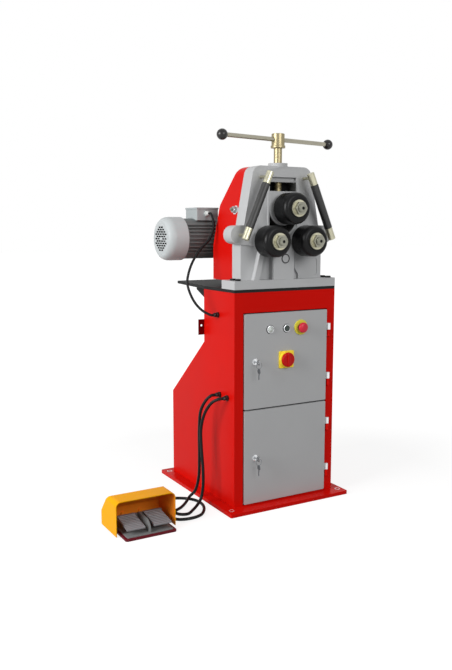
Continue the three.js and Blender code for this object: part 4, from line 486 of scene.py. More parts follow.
by_slot = {
    "red_paint": red_paint, "dark_plate": dark_paint, "grey_paint": door_paint, "cast_paint": cast_paint,
    "black_steel": black_steel, "zinc_plate": zinc, "nickel_plate": nickel, "steel": bare_steel,
    "black_plastic": black_plastic, "red_plastic": red_plastic, "yellow_plastic": yellow_plastic,
    "lamp_lens": lamp_lens, "guard_yellow": guard_paint, "pedal_grey": pedal_alloy,
    "motor_grey": motor_grey, "motor_light": motor_light, "cable_rubber": cable_rubber,
    "panel_zinc": panel_zinc,
}
print(len(by_slot), "slots have a finish")

# %% [markdown]
# Cables are round tubes of a known length that hang and lie under their own weight. The
# frame holds them as coarse tubes along a smooth curve through chosen points. A Blender
# curve with a bevel could be the tube, but it rounds the bends by another rule, so the same
# points are written here, and a finer tube is carried along the frame's own curve.

# %% A smooth curve through points
MM_PER_METRE = 1000


def smooth_route(points, samples=14):
    """A centripetal Catmull-Rom curve: knots are spaced by the square root of each chord."""
    route = np.asarray(points, float) / MM_PER_METRE
    padded_route = np.vstack([2 * route[0] - route[1], route, 2 * route[-1] - route[-2]])
    p0, p1, p2, p3 = (padded_route[i:len(padded_route) - 3 + i] for i in range(4))
    gap = [np.sqrt(np.linalg.norm(b - a, axis=1))[:, None] for a, b in ((p0, p1), (p1, p2), (p2, p3))]
    start = ((p1 - p0) / gap[0] - (p2 - p0) / (gap[0] + gap[1]) + (p2 - p1) / gap[1]) * gap[1]
    end = ((p2 - p1) / gap[1] - (p3 - p1) / (gap[1] + gap[2]) + (p3 - p2) / gap[2]) * gap[1]
    t = np.linspace(0, 1, samples, endpoint=False)[None, :, None]
    a, b = start[:, None], end[:, None]
    low, high = p1[:, None], p2[:, None]
    curve = (low + a * t + (-3 * low + 3 * high - 2 * a - b) * t**2
             + (2 * low - 2 * high + a + b) * t**3)
    return np.vstack([curve.reshape(-1, 3), route[-1:]])


def carried_tube(name, path, radius, columns=20):
    """A circle carried along a path; its first direction is turned as little as possible."""
    step = np.gradient(path, axis=0)
    ahead = step / np.linalg.norm(step, axis=1, keepdims=True)
    firsts = [across(ahead[0])[1]]
    for way in ahead[1:]:
        first = firsts[-1] - way * np.dot(firsts[-1], way)
        firsts.append(first / np.linalg.norm(first))
    firsts = np.array(firsts)
    seconds = np.cross(ahead, firsts)
    turn = full_turn(columns)[None, :, None]
    points = path[:, None] + radius * (np.cos(turn) * firsts[:, None] + np.sin(turn) * seconds[:, None])
    return mesh_piece(name, points, grid_faces(len(path), columns), end_caps(len(path), columns),
                      angle=60, weighted=False)


def cable(name, node, route, radius):
    """A cable along its route, from gland to gland."""
    path = smooth_route(route)
    piece = seat(carried_tube(name, path, radius), node, cable_rubber)


# %% [markdown]
# Three cables show. One hangs in a bow from the motor's terminal box to the cabinet; the two
# of the foot switch drop down the cabinet's side and lie on the floor, the left one in a loop.
# A simulated rope would come to rest in another place than the photographed one, so each
# route goes through points read from the photograph, and guessed ones where it is hidden.
# Points are in millimetres; the free ones give the distance out from the cabinet's left side
# first, as the frame's own route does.

# %% The three cables
SIDE, GLAND_LONG, ON_FLOOR = -235, 23.3, 6.6
GLAND_TIP = SIDE - GLAND_LONG
PEDAL_TIP = -128 + GLAND_LONG
TERMINAL_TIP = (-188, 23.7, 869 + 188.117 + 82 + 20)


def from_cabinet(points):
    """Free points as x, y and z, with x counted from the cabinet's side."""
    return [(SIDE - out, y, z) for out, y, z in points]


def entry(x):
    """The last three points of a pedal cable, straight into its gland."""
    return [(x, PEDAL_TIP + GLAND_LONG, 28), (x, PEDAL_TIP + GLAND_LONG / 3, 30), (x, PEDAL_TIP, 30)]


x, y, z = TERMINAL_TIP
MOTOR_ROUTE = [(x, y, z), (x, y - 6, z), (x, y - 14, z - 1), *from_cabinet([
    (-46, -12, 1135), (-38, -29, 1098), (-12, -40, 1053), (18, -44, 1028), (50, -50, 995),
    (76, -56, 957), (93, -62, 918), (100, -68, 890), (98.5, -78, 861), (88, -94, 823),
    (72, -111, 794), (53, -128, 775)]), (GLAND_TIP - 7, -137, 764), (GLAND_TIP, -137, 764)]
LEFT_ROUTE = [(GLAND_TIP, -151, 449), (GLAND_TIP - 7, -151, 449), (GLAND_TIP - 15, -150, 448),
              *from_cabinet([
                  (55, -138, 430), (70, -120, 386), (73, -111, 312), (73, -111, 200), (74, -106, 110),
                  (80, -84, 45), (98, -72, 21), (129, -99, 10), (166, -131, ON_FLOOR),
                  (217, -163, ON_FLOOR), (243, -192, ON_FLOOR), (235, -235, ON_FLOOR),
                  (196, -252, ON_FLOOR), (140, -243, ON_FLOOR), (100, -200, ON_FLOOR),
                  (77, -140, ON_FLOOR), (82, -84, ON_FLOOR), (115, -42, ON_FLOOR),
                  (185, -10, ON_FLOOR), (285, 8, ON_FLOOR), (369, 0, ON_FLOOR), (409, -34, 13)]),
              *entry(-648)]
RIGHT_ROUTE = [(GLAND_TIP, -212, 446), (GLAND_TIP - 7, -212, 446), (GLAND_TIP - 15, -210, 445),
               *from_cabinet([
                   (57, -190, 430), (71, -158, 386), (77, -134, 316), (77, -136, 240), (76, -147, 150),
                   (77, -148, 80), (87, -150, 36), (110, -166, 20), (143, -188, 10),
                   (173, -206, ON_FLOOR), (211, -204, 12), (233, -176, 20), (239, -134, 13),
                   (242, -92, ON_FLOOR), (263, -44, ON_FLOOR), (305, -26, ON_FLOOR),
                   (337, -50, 16)]),
               *entry(-578)]
cable("motor_cable_tube", "motor_cable", MOTOR_ROUTE, 0.005)
cable("left_pedal_cable_tube", "left_pedal_cable", LEFT_ROUTE, 0.006)
cable("right_pedal_cable_tube", "right_pedal_cable", RIGHT_ROUTE, 0.006)

# %% [markdown]
# A bending roller is a hardened ring, turned all over and blackened. Its front edge is
# well rounded so that a section can be started in it. A beveled cylinder would round both
# ends alike, so the roller is turned: its profile runs out along the front face, with a fine
# groove round the washer, over a quarter of an ellipse and back along the working face.

# %% Bending rollers
DECK, BORE, CLEARANCE = 0.869, 0.0153, 0.0003
ROLLER_FRONT, ROLLER_REAR, ROLLER_RADIUS = -0.339, -0.256, 0.060
EDGE_ACROSS, EDGE_ALONG = 0.015, 0.020
AXES = {"left": (-0.085, 1.0505), "right": (0.085, 1.0505), "top": (0.0, 1.174)}
quarter = np.linspace(0, np.pi / 2, 10)
rounded_edge = np.stack([ROLLER_RADIUS - EDGE_ACROSS * (1 - np.sin(quarter)),
                         ROLLER_FRONT + EDGE_ALONG * (1 - np.cos(quarter))], -1)
roller_profile = np.vstack([
    [(BORE, ROLLER_FRONT), (0.0370, ROLLER_FRONT), (0.0374, ROLLER_FRONT + 0.0006),
     (0.0386, ROLLER_FRONT + 0.0006), (0.0390, ROLLER_FRONT)],
    rounded_edge,
    [(ROLLER_RADIUS, ROLLER_FRONT + 0.0206), (0.0594, ROLLER_FRONT + 0.0210),
     (0.0594, ROLLER_FRONT + 0.0218), (ROLLER_RADIUS, ROLLER_FRONT + 0.0222),
     (ROLLER_RADIUS, ROLLER_REAR - 0.0026), (0.0594, ROLLER_REAR - 0.0008), (0.0580, ROLLER_REAR),
     (BORE, ROLLER_REAR), (BORE, ROLLER_FRONT)],
])
for side, (x, z) in AXES.items():
    piece = turned(f"{side}_bending_roller", roller_profile, (x, 0, z), columns=96, angle=24)
    seat(piece, f"{side}_roller", black_steel)
print("roller profile has", len(roller_profile), "points")

# %% [markdown]
# Each roller is held on its shaft by a nut over a broad washer. Behind the roller the shaft
# has a collar; its front end is threaded and has the centre hole that it was turned on.
# The thread could be a bump in the steel, but it stands at the shaft's very edge, where a
# bump would leave a straight outline, so it is real. Washer, collar and nut are one solid
# in the frame, and here they are two meshes that stand for it together.

# %% Shafts, washers and nuts
RELIEF_FRONT, SLIDE_FRONT = -0.252, -0.237
SHAFT_FRONT, SHAFT_RADIUS, HOLE_RADIUS = ROLLER_FRONT - 0.0313, 0.0150, 0.0058
SHAFT_THREAD = (SHAFT_FRONT + 0.0016, SHAFT_FRONT + 0.0130, 0.0018, 0.0009)
WASHER_RADIUS, COLLAR_RADIUS, NUT_FLATS, NUT_HEIGHT = 0.0320, 0.0250, 0.046, 0.012
washer_face, collar_face = ROLLER_FRONT - 0.0063, ROLLER_FRONT - 0.0103
nut_profile = [(BORE, ROLLER_FRONT - CLEARANCE), (WASHER_RADIUS, ROLLER_FRONT - CLEARANCE),
               (WASHER_RADIUS, washer_face + 0.0008), (0.0312, washer_face), (0.0252, washer_face),
               (COLLAR_RADIUS, washer_face - 0.0002), (COLLAR_RADIUS, collar_face + 0.0006),
               (0.0244, collar_face), (BORE, collar_face), (BORE, ROLLER_FRONT - CLEARANCE)]
# A black disc just inside each centre hole is painted shade.
hole_floor = [(0, 0), (0.0057, 0), (0.0057, 0.0003), (0, 0.0003)]
for side, (x, z) in AXES.items():
    collar_rear = (SLIDE_FRONT if side == "top" else RELIEF_FRONT) - CLEARANCE
    shaft_rear = -0.1836 if side == "top" else -0.024
    bar = [(0, SHAFT_FRONT + 0.008), (HOLE_RADIUS, SHAFT_FRONT + 0.005),
           (HOLE_RADIUS, SHAFT_FRONT + 0.0004), (0.0062, SHAFT_FRONT), (0.0132, SHAFT_FRONT),
           *threaded_run(SHAFT_RADIUS, *SHAFT_THREAD[:3]), (SHAFT_RADIUS, ROLLER_REAR + CLEARANCE),
           (0.0205, ROLLER_REAR + CLEARANCE), (0.0210, ROLLER_REAR + 0.0008), (0.0210, collar_rear),
           (SHAFT_RADIUS, collar_rear), (SHAFT_RADIUS, shaft_rear), (0, shaft_rear)]
    shaft = turned(f"{side}_roller_shaft", bar, (x, 0, z), thread=SHAFT_THREAD)
    seat(shaft, f"{side}_shaft", shaft_steel)
    seat(turned(f"{side}_nut_washer", nut_profile, (x, 0, z)), f"{side}_nut", zinc)
    # The black disc in the centre hole is painted shade.
    seat_also(turned(f"{side}_centre_hole_shade", hole_floor, (x, SHAFT_FRONT + 0.0012, z), FRONT, columns=32),
              f"{side}_shaft", deep_black)
    hexagon = hexagon_head(f"{side}_nut_hexagon", (x, collar_face, z), FRONT, NUT_FLATS, -0.0002,
                           NUT_HEIGHT, BORE)
    seat_also(hexagon, f"{side}_nut", nut_zinc)
print("shaft end", round(SHAFT_FRONT, 4))

# %% [markdown]
# The press screw pushes the slide with the upper roller down. Its lower part carries a
# coarse thread that runs in the casting, the part above is plain, and a hub on top takes
# the cross bar. The real screw is zinc plated with a yellow cast. Screw, bar and knobs
# are all round, so three turned profiles make them, and the thread is cut into the first.

# %% Press screw, cross bar and ball knobs
SIDES = (("left", -1), ("right", 1))
SCREW_Y, BAR_HEIGHT, BAR_TURN = -0.193, DECK + 0.5705, math.radians(10)
BAR_HALF, BAR_RADIUS, KNOB_PLACE, KNOB_RADIUS, NECK_RADIUS = 0.2735, 0.0085, 0.280, 0.0205, 0.0108
SCREW_THREAD = (0.387, 0.474, 0.005, 0.0018)
screw_profile = np.vstack([
    [(0, 0.358), (0.0105, 0.358), (0.011, 0.3585), (0.011, 0.3723), (0.0145, 0.3723), (0.0145, 0.384),
     (0.0158, 0.386)],
    threaded_run(0.016, *SCREW_THREAD[:3]),
    [(0.016, 0.538), (0.0272, 0.538), (0.0285, 0.5393), (0.0285, 0.5467), (0.0272, 0.548),
     (0.0258, 0.548), (0.0255, 0.5484), (0.0255, 0.5905), (0.0248, 0.5923), (0.0235, 0.593), (0, 0.593)],
])
screw = turned("threaded_press_screw", screw_profile, (0, SCREW_Y, DECK), UP, thread=SCREW_THREAD)
seat(screw, "press_screw", brass_zinc)
bar_way = np.array([math.cos(BAR_TURN), math.sin(BAR_TURN), 0])
bar_centre = np.array([0, SCREW_Y, BAR_HEIGHT])
bar_profile = [(0, -BAR_HALF), (BAR_RADIUS, -BAR_HALF), (BAR_RADIUS, -0.026), (BAR_RADIUS, 0.026),
               (BAR_RADIUS, BAR_HALF), (0, BAR_HALF)]
seat(turned("cross_bar", bar_profile, bar_centre, bar_way, columns=48), "tommy_bar", nickel)
neck = math.asin(NECK_RADIUS / KNOB_RADIUS)
ball = arc((0, 0), KNOB_RADIUS, np.linspace(neck - np.pi / 2, np.pi / 2, 30))
ball[:, 0] = np.maximum(ball[:, 0], 0)
knob_profile = np.vstack([[(0, -0.006), (0.0088, -0.006), (0.0088, -0.0168), (0.0092, ball[0, 1])], ball])
for side, sign in SIDES:
    knob = turned(f"{side}_black_knob", knob_profile, bar_centre + sign * KNOB_PLACE * bar_way,
                  sign * bar_way)
    seat(knob, f"{side}_ball_knob", black_plastic)
print("bar at height", round(BAR_HEIGHT, 4))

# %% [markdown]
# A guide on each side keeps the bent ring in line: two pins from the casting carry a leaning
# axle with plated ends, and a black sleeve turns on it. An upright cylinder could be leaned
# over afterwards, but every piece here keeps its place in its mesh, so the axle is turned
# straight along the line between the two pins.

# %% Side guides
GUIDE_PLANE, SLEEVE_HALF, SLEEVE_RADIUS, CAP = -0.283, 0.090, 0.0155, 0.0145
guide_pin = [(0, 0), (0.006, 0), (0.006, 0.085), (0, 0.085)]
sleeve = [(0.0084, -SLEEVE_HALF), (0.0140, -SLEEVE_HALF), (SLEEVE_RADIUS, -SLEEVE_HALF + 0.0015),
          (SLEEVE_RADIUS, SLEEVE_HALF - 0.0015), (0.0140, SLEEVE_HALF), (0.0084, SLEEVE_HALF),
          (0.0084, -SLEEVE_HALF)]
for side, sign in SIDES:
    ends = {"upper": np.array([sign * 0.099, GUIDE_PLANE, DECK + 0.423]),
            "lower": np.array([sign * 0.194, GUIDE_PLANE, DECK + 0.205])}
    middle, lean = (ends["upper"] + ends["lower"]) / 2, ends["upper"] - ends["lower"]
    reach = np.linalg.norm(lean) / 2 + 0.019
    gap = SLEEVE_HALF + CLEARANCE
    axle = [(0, -reach), (CAP - 0.0015, -reach), (CAP, -reach + 0.0015), (CAP, -gap - 0.0006),
            (CAP - 0.0006, -gap), (0.008, -gap), (0.008, gap), (CAP - 0.0006, gap), (CAP, gap + 0.0006),
            (CAP, reach - 0.0015), (CAP - 0.0015, reach), (0, reach)]
    seat(turned(f"{side}_guide_axle", axle, middle, lean, columns=48), f"{side}_guide_frame", zinc)
    for end, place in ends.items():
        seat_also(turned(f"{side}_{end}_guide_pin", guide_pin, place, BACK, columns=32),
                  f"{side}_guide_frame", zinc)
    seat(turned(f"{side}_guide_sleeve", sleeve, middle, lean, columns=48), f"{side}_guide_roller",
         sleeve_steel)
print("guide axle is", round(2 * reach, 3), "m long")

# %% [markdown]
# The gear cover is held by a stud, washer and nut on each side. They stand square to the
# cover's leaning wall, so their axis leans with it. The lean could be measured in a render;
# it is worked out instead from the frame's figures, the cover's half width at two heights.

# %% Nuts of the gear cover
WALL_LEAN = math.atan2(0.188 - 0.130, 0.467 - 0.161)
STUD_RADIUS, STUD_BORE, WASHER_TOP, STUD_THREAD = 0.006, 0.0063, 0.0043, (0.0160, 0.0240, 0.0015, 0.0007)
stud = [(0, -0.020), (STUD_RADIUS, -0.020), *threaded_run(STUD_RADIUS, *STUD_THREAD[:3]),
        (0.0050, 0.0253), (0, 0.0253)]
washer = [(STUD_BORE, CLEARANCE), (0.0175, CLEARANCE), (0.0175, 0.0037), (0.0169, WASHER_TOP),
          (STUD_BORE, WASHER_TOP), (STUD_BORE, CLEARANCE)]
for side, sign in SIDES:
    root = (sign * 0.16165, -0.1475, DECK + 0.300)
    outward = (sign * math.cos(WALL_LEAN), 0, math.sin(WALL_LEAN))
    seat(turned(f"{side}_cover_stud", stud, root, outward, columns=36, thread=STUD_THREAD),
         f"{side}_cover_bolt", shaft_steel)
    seat_also(turned(f"{side}_cover_washer", washer, root, outward), f"{side}_cover_bolt", bright_chrome)
    seat_also(hexagon_head(f"{side}_cover_nut", root, outward, 0.024, WASHER_TOP, 0.0163, STUD_BORE),
              f"{side}_cover_bolt", bare_steel)
print("cover wall leans", round(math.degrees(WALL_LEAN), 1), "degrees")

# %% [markdown]
# The controls sit in round holes of the upper door. A pilot lamp is a bright ring round a
# ribbed lens, the start button a dark cap in the same ring, and the emergency stop a
# mushroom over a lemon disc. A cap stuck on the door would do from outside, but the door
# opens, so each control has its barrel or stem behind the sheet as well. Distances along a
# profile are counted from the door's face, and less than zero is outside.

# %% Controls on the upper door
DOOR_FACE, CONTROL_ROW, BEZEL = -0.268, 0.711, 0.0055
LAMP_X, START_X, STOP_X = -0.078, -0.0015, 0.0655
bezel_ring = [(0.0118, -0.0003), (0.0155, -0.0003), (0.0155, -0.0032), (0.0146, -0.0050),
              (0.0136, -BEZEL), (0.0126, -BEZEL), (0.0118, -0.0046), (0.0118, -0.0003)]
# The black ring round each bezel is partly a gasket, and partly painted shade at the bezel's edge.
gasket_and_shade_ring = [(0.0135, -0.0003), (0.0168, -0.0003), (0.0171, -0.0010), (0.0167, -0.0018), (0.0135, -0.0018),
          (0.0135, -0.0003)]
barrel = [(0, 0.0040), (0.0110, 0.0040), (0.0110, 0.034), (0, 0.034)]
lens = [(0, -0.0105), (0.0045, -0.0101), (0.0085, -0.0086), (0.0112, -0.0058), (0.0116, -0.0040),
        (0.0116, -0.0006), (0, -0.0006)]
for name, node, x in (("lamp", "pilot_lamp", LAMP_X), ("start", "start_bezel", START_X)):
    place = (x, DOOR_FACE, CONTROL_ROW)
    seat(turned(f"{name}_ring", bezel_ring, place), node, bright_chrome)
    seat_also(turned(f"{name}_gasket", gasket_and_shade_ring, place), node, deep_black)
    seat_also(turned(f"{name}_barrel", barrel, place, columns=36), node, black_plastic)
seat_also(turned("lamp_dome", lens, (LAMP_X, DOOR_FACE, CONTROL_ROW)), "pilot_lamp", lamp_lens)
start_cap = [(0, -0.0080), (0.0085, -0.0082), (0.0104, -0.0080), (0.0113, -0.0072), (0.0113, -0.0044),
             (0.0040, -0.0043), (0.0040, -0.0012), (0, -0.0012)]
seat(turned("start_cap", start_cap, (START_X, DOOR_FACE, CONTROL_ROW)), "start_button", green_plastic)
stop_place = (STOP_X, DOOR_FACE, CONTROL_ROW)
disc = [(0.0083, -0.0050), (0.0285, -0.0050), (0.0299, -0.0044), (0.0305, -0.0030), (0.0305, -0.0003),
        (0.0110, -0.0003), (0.0110, 0.034), (0.0083, 0.034), (0.0083, -0.0050)]
seat(turned("stop_disc", disc, stop_place), "stop_collar", lemon_plastic)
# The socket ring under the mushroom is partly a real part; its dark red is painted shade.
socket = [(0.0083, -0.0048), (0.0162, -0.0048), (0.0162, -0.0060), (0.0150, -0.0074), (0.0083, -0.0074),
          (0.0083, -0.0048)]
seat_also(turned("stop_socket", socket, stop_place), "stop_collar", stem_plastic)
head_turn = np.linspace(0, np.pi / 2, 9)
mushroom = np.vstack([
    np.stack([0.0206 * np.sin(head_turn), -0.0212 - 0.0078 * np.cos(head_turn)], -1),
    [(0.0210, -0.0195), (0.0205, -0.0172), (0.0190, -0.0152), (0.0130, -0.0140), (0.0080, -0.0132),
     (0.0080, 0.029), (0, 0.029)]])
seat(turned("stop_mushroom", mushroom, stop_place), "stop_button", crimson_plastic)
print("mushroom has", len(mushroom), "rings")

# %% [markdown]
# The main switch is a square plate with a padlock hole, a round boss and a knob with a grip
# bar. The plate keeps the frame's own shape, for its hole, and the knob is turned anew. Its
# grip is a rounded plate laid on the disc, because a turned piece can't have flat sides.

# %% Main switch
SWITCH_X, SWITCH_Z, GRIP_HALF_WIDE, GRIP_HALF_LONG = -0.003, 0.588, 0.0065, 0.0275
switch_place = (SWITCH_X, DOOR_FACE, SWITCH_Z)
seat(eased_copy("switch_plate", 0.0003), "switch_plate", yellow_plastic)
# A black disc in the padlock hole is painted shade.
hole_shadow = [(0, -0.0050), (0.0040, -0.0050), (0.0040, -0.0047), (0, -0.0047)]
seat_also(turned("padlock_hole_painted_shade", hole_shadow, (-0.029, DOOR_FACE, 0.577), columns=24),
          "switch_plate", deep_black)
knob_disc = [(0, -0.0223), (0.0240, -0.0223), (0.0262, -0.0219), (0.0278, -0.0205), (0.0285, -0.0185),
             (0.0285, -0.0133), (0.0080, -0.0133), (0.0080, 0.0167), (0, 0.0167)]
seat(turned("switch_disc", knob_disc, switch_place), "switch_knob", red_plastic)
grip = rounded_box(-GRIP_HALF_WIDE, GRIP_HALF_WIDE, -GRIP_HALF_LONG, GRIP_HALF_LONG, 0.005)
seat_also(eased_plate("switch_grip", grip + (SWITCH_X, SWITCH_Z), DOOR_FACE - 0.0263, DOOR_FACE - 0.0222,
                      "front", 0.002, 4), "switch_knob", red_plastic)
print("switch at", switch_place)

# %% [markdown]
# A lock is a turned barrel with a chamfered flange. Its key stands in it, and a second key
# hangs from the first one's bow on a wire ring, which is thin trim and so is made only here.
# The ring could be Blender's own torus; as a small circle carried round a large one it is
# the same grid as every other piece, and it hangs in its place without being moved.

# %% Locks and hanging keys
lock_profile = [(0.0033, -0.0034), (0.0042, -0.0040), (0.0104, -0.0040), (0.0120, -0.0026),
                (0.0120, -0.0003), (0.0090, -0.0003), (0.0090, 0.016), (0.0033, 0.016), (0.0033, -0.0034)]
RING_RADIUS, RING_STEPS, WIRE_RADIUS, WIRE_STEPS, SPARE_SIZE = 0.0125, 40, 0.0008, 10, 1.25
turn = full_turn(RING_STEPS)
spread = np.stack([np.sin(turn), np.zeros(RING_STEPS), np.cos(turn)], -1)
wire = arc((0, 0), WIRE_RADIUS, full_turn(WIRE_STEPS))
key_outline = np.array([
    (-0.0020, -0.033), (0.0012, -0.035), (0.0028, -0.031), (0.0020, -0.027), (0.0028, -0.023),
    (0.0018, -0.019), (0.0018, -0.0155), (0.0075, -0.0125), (0.0085, -0.0070), (0.0060, -0.0012),
    (0.0000, 0.0002), (-0.0060, -0.0012), (-0.0085, -0.0070), (-0.0075, -0.0125), (-0.0020, -0.0155)])
for level, x, z in (("upper", -0.146, 0.589), ("lower", -0.144, 0.207)):
    lock = f"{level}_lock"
    seat(turned(f"{level}_lock_barrel", lock_profile, (x, DOOR_FACE, z)), lock, bright_chrome)
    seat(eased_copy(f"{level}_key", 0.0004), f"{level}_key", bare_steel)
    bow = np.array([x, DOOR_FACE - 0.0298, z])
    ring_middle = bow - [0, 0, RING_RADIUS - 0.0022]
    ring_points = ring_middle + RING_RADIUS * spread
    loop = ring_points[:, None] + wire[None, :, :1] * spread[:, None] + wire[None, :, 1:] * np.array(BACK)
    ring = mesh_piece(f"{level}_key_ring", loop, grid_faces(RING_STEPS, WIRE_STEPS, closed=True),
                      weighted=False)
    seat_also(ring, lock, key_steel)
    spare = SPARE_SIZE * key_outline + (bow[1], ring_middle[2] - RING_RADIUS - 0.0004)
    seat_also(eased_plate(f"{level}_spare_key", spare, x - 0.0011, x + 0.0011, "side", 0.0004, 2), lock,
              key_steel)
print("two keys on rings")

# %% [markdown]
# The doors hang on weld-on hinges. The capped sleeve belongs to the door and is left bright,
# the post below it to the frame and is painted with it. The gap round the doors could be
# left empty, but light would fall through it, and the photograph shows it black. So strips
# of black rubber fill it, as a seal would, and their black is partly painted shade of the gap.

# %% Hinge sleeves and door seals
HINGE_X, HINGE_Y, SLEEVE, POST_HOLE = 0.2046, -0.269, 0.0063, 0.0034
hinge_sleeve = [(POST_HOLE, -0.0132), (SLEEVE - 0.0004, -0.0132), (SLEEVE, -0.0128), (SLEEVE, 0.0118),
                (SLEEVE - 0.0012, 0.0136), (0, 0.0137), (0, 0.0106), (POST_HOLE, 0.0106),
                (POST_HOLE, -0.0132)]
for door, heights in (("lower_door", (0.119, 0.315)), ("upper_door", (0.504, 0.706))):
    for count, height in enumerate(heights):
        seat_also(turned(f"{door}_hinge_sleeve_{count}", hinge_sleeve, (HINGE_X, HINGE_Y, height), UP,
                         columns=36), door, bright_chrome)
# The seals' black is partly painted shade of the door gap.
SEAL_BACK, SEAL_FRONT = -0.2520, -0.2552
strips = {
    "left": (-0.1958, -0.1922, 0.0182, 0.7788), "right": (0.1948, 0.1984, 0.0182, 0.7788),
    "foot": (-0.1920, 0.1946, 0.0182, 0.0218), "top": (-0.1920, 0.1946, 0.7752, 0.7788),
    "middle": (-0.1920, 0.1946, 0.3972, 0.4028),
}
for name, edges in strips.items():
    seat_also(eased_plate(f"{name}_door_seal_and_gap_shade", rounded_box(*edges), SEAL_FRONT, SEAL_BACK, "front",
                          0.0008, 2), "front_frame", deep_black)
print(len(strips), "seals")

# %% [markdown]
# Cable glands are a hexagon with a rounded nose that grips the cable. All are alike, so one
# function makes them, and hexagon and nose are the two helpers from above. The three in the
# cabinet's side are black; the one on the terminal box is pale and is fitted over the
# frame's own, which is part of the box.

# %% Glands
def gland(name, node, root, along, material, replaced=True):
    """A gland that points along a direction from its root on the wall."""
    seat(hexagon_head(f"{name}_hexagon", root, along, 0.0203, 0.0003, 0.0081, columns=60), node, material,
         replaced)
    nose = [(0, -0.008), (0.007, -0.008), (0.007, 0.0005), (0.0088, 0.0010), (0.0088, 0.0150),
            (0.0083, 0.0185), (0.0072, 0.0215), (0.0060, 0.0232), (0, 0.0232)]
    seat_also(turned(f"{name}_nose", nose, root, along, columns=36), node, material)


for name, y, z in (("motor_cable_gland", -0.137, 0.764), ("left_pedal_gland", -0.151, 0.449),
                   ("right_pedal_gland", -0.212, 0.446)):
    gland(f"{name}_body", name, (SIDE / MM_PER_METRE, y, z), LEFT, black_plastic)
gland("terminal_entry", "terminal_box", (-0.188, 0.047, TERMINAL_TIP[2] / MM_PER_METRE), FRONT, pale_gland,
      replaced=False)
print("glands placed")

# %% [markdown]
# Small trim that the frame leaves out: a turned ring round the plain boss at the foot of the
# casting, a black sheet of painted shade on the guideway behind the slide, which shows when
# the slide is down, and a bright worn rim round each anchor hole of the base plate. A second
# colour on the castings could stand for them, but a thin piece of its own keeps its edge sharp
# at any distance.

# %% Trim of the casting and the base plate
BOSS_FACE = (0, -0.2545, DECK + 0.1135)
boss_trim = [(0.0148, -0.0006), (0.0184, -0.0006), (0.0184, 0.0004), (0.0148, 0.0004), (0.0148, -0.0006)]
seat_also(turned("boss_ring", boss_trim, BOSS_FACE, columns=60), "head_casting", deep_black)
WAY_HALF, WAY_FOOT, WAY_TOP, WAY_FACE = 0.0637, DECK + 0.269, DECK + 0.4065, -0.17615
foot_arc = arc((0, WAY_FOOT), WAY_HALF, np.linspace(np.pi, 2 * np.pi, 33))
top_corners = rounded_box(-WAY_HALF, WAY_HALF, DECK + 0.300, WAY_TOP, 0.013)[:2 * (CORNER_STEPS + 1)]
# A black sheet on the slot's rear wall, as painted shade.
seat_also(eased_plate("painted_shade_guideway_sheet", np.vstack([foot_arc, top_corners]), WAY_FACE, WAY_FACE + 0.00011,
                      "front", 0.00005, 1), "head_casting", deep_black)
ANCHOR_X, ANCHOR_Y, HOLE_EDGE, BASE_TOP = 0.256, 0.280, 0.0081, 0.0150
rim = [(HOLE_EDGE, 0.0120), (HOLE_EDGE, BASE_TOP), (0.0084, 0.0154), (0.0106, 0.0154), (0.0110, BASE_TOP),
       (0.0110, 0.0149), (0.0082, 0.0120), (HOLE_EDGE, 0.0120)]
for side, sign in SIDES:
    for end, y in (("front", -ANCHOR_Y), ("rear", ANCHOR_Y)):
        seat_also(turned(f"anchor_rim_{side}_{end}", rim, (sign * ANCHOR_X, y, 0), UP, columns=40),
                  "base_plate", bright_chrome)
print("trim placed")

# %% [markdown]
# The fan cover is a pressed shell that rounds over to a flat face. Air comes in through rows
# of short slots. The shell is one turned profile. A Boolean modifier could cut the slots, but
# this needs no cutting: the face is a flat grid whose lines follow the slots' edges, and the
# cells inside a slot are left out, so the slots are real holes.

# %% Fan cover
MOTOR_AXIS = (0, 0.098, DECK + 0.188117)
SHELL_MOUTH, SHELL_FACE, SHELL_RADIUS, SHEET = 0.285, 0.370, 0.088, 0.0016
TURN_CENTRE, TURN_ACROSS, TURN_ALONG = (0.066, 0.336), 0.022, 0.034
over = np.linspace(0, np.pi / 2, 12)
outer_over = arc(TURN_CENTRE, (TURN_ACROSS, TURN_ALONG), over)
inner_over = arc(TURN_CENTRE, (TURN_ACROSS - SHEET, TURN_ALONG - SHEET), over)[::-1]
cover = np.vstack([
    [(SHELL_RADIUS, SHELL_MOUTH)], outer_over, [(0.0590, SHELL_FACE), (0.0590, SHELL_FACE - SHEET)],
    inner_over, [(SHELL_RADIUS - SHEET, SHELL_MOUTH), (SHELL_RADIUS, SHELL_MOUTH)]])
seat(turned("fan_cover_shell", cover, MOTOR_AXIS, LEFT, columns=96), "fan_cover", motor_light)
ROW, SLOT_HIGH, SLOT_LONG, COLUMN = 0.0092, 0.0062, 0.0185, 0.0220
HUB, SLOT_REACH, GRILLE_THICK = 0.009, 0.0535, 0.0012
lines_y = np.unique(np.round(np.concatenate([
    COLUMN * np.arange(-4, 5) + shift + half * SLOT_LONG / 2
    for shift in (0, COLUMN / 2) for half in (-1, 1)]), 6))
lines_z = np.unique(np.round(np.concatenate([
    ROW * np.arange(-8, 9) + half * SLOT_HIGH / 2 for half in (-1, 1)]), 6))
mid_y = ((lines_y[:-1] + lines_y[1:]) / 2)[None, :]
mid_z = ((lines_z[:-1] + lines_z[1:]) / 2)[:, None]
row_of = np.round(mid_z / ROW)
shift = np.where(row_of % 2 == 0, 0, COLUMN / 2)
slot_y = np.round((mid_y - shift) / COLUMN) * COLUMN + shift
in_slot = (np.abs(mid_z - row_of * ROW) < SLOT_HIGH / 2) & (np.abs(mid_y - slot_y) < SLOT_LONG / 2)
slot_reach = np.hypot(slot_y, row_of * ROW)
in_slot &= (slot_reach < SLOT_REACH) & (slot_reach > HUB)
kept = ~in_slot & (np.hypot(mid_y, mid_z) < TURN_CENTRE[0])
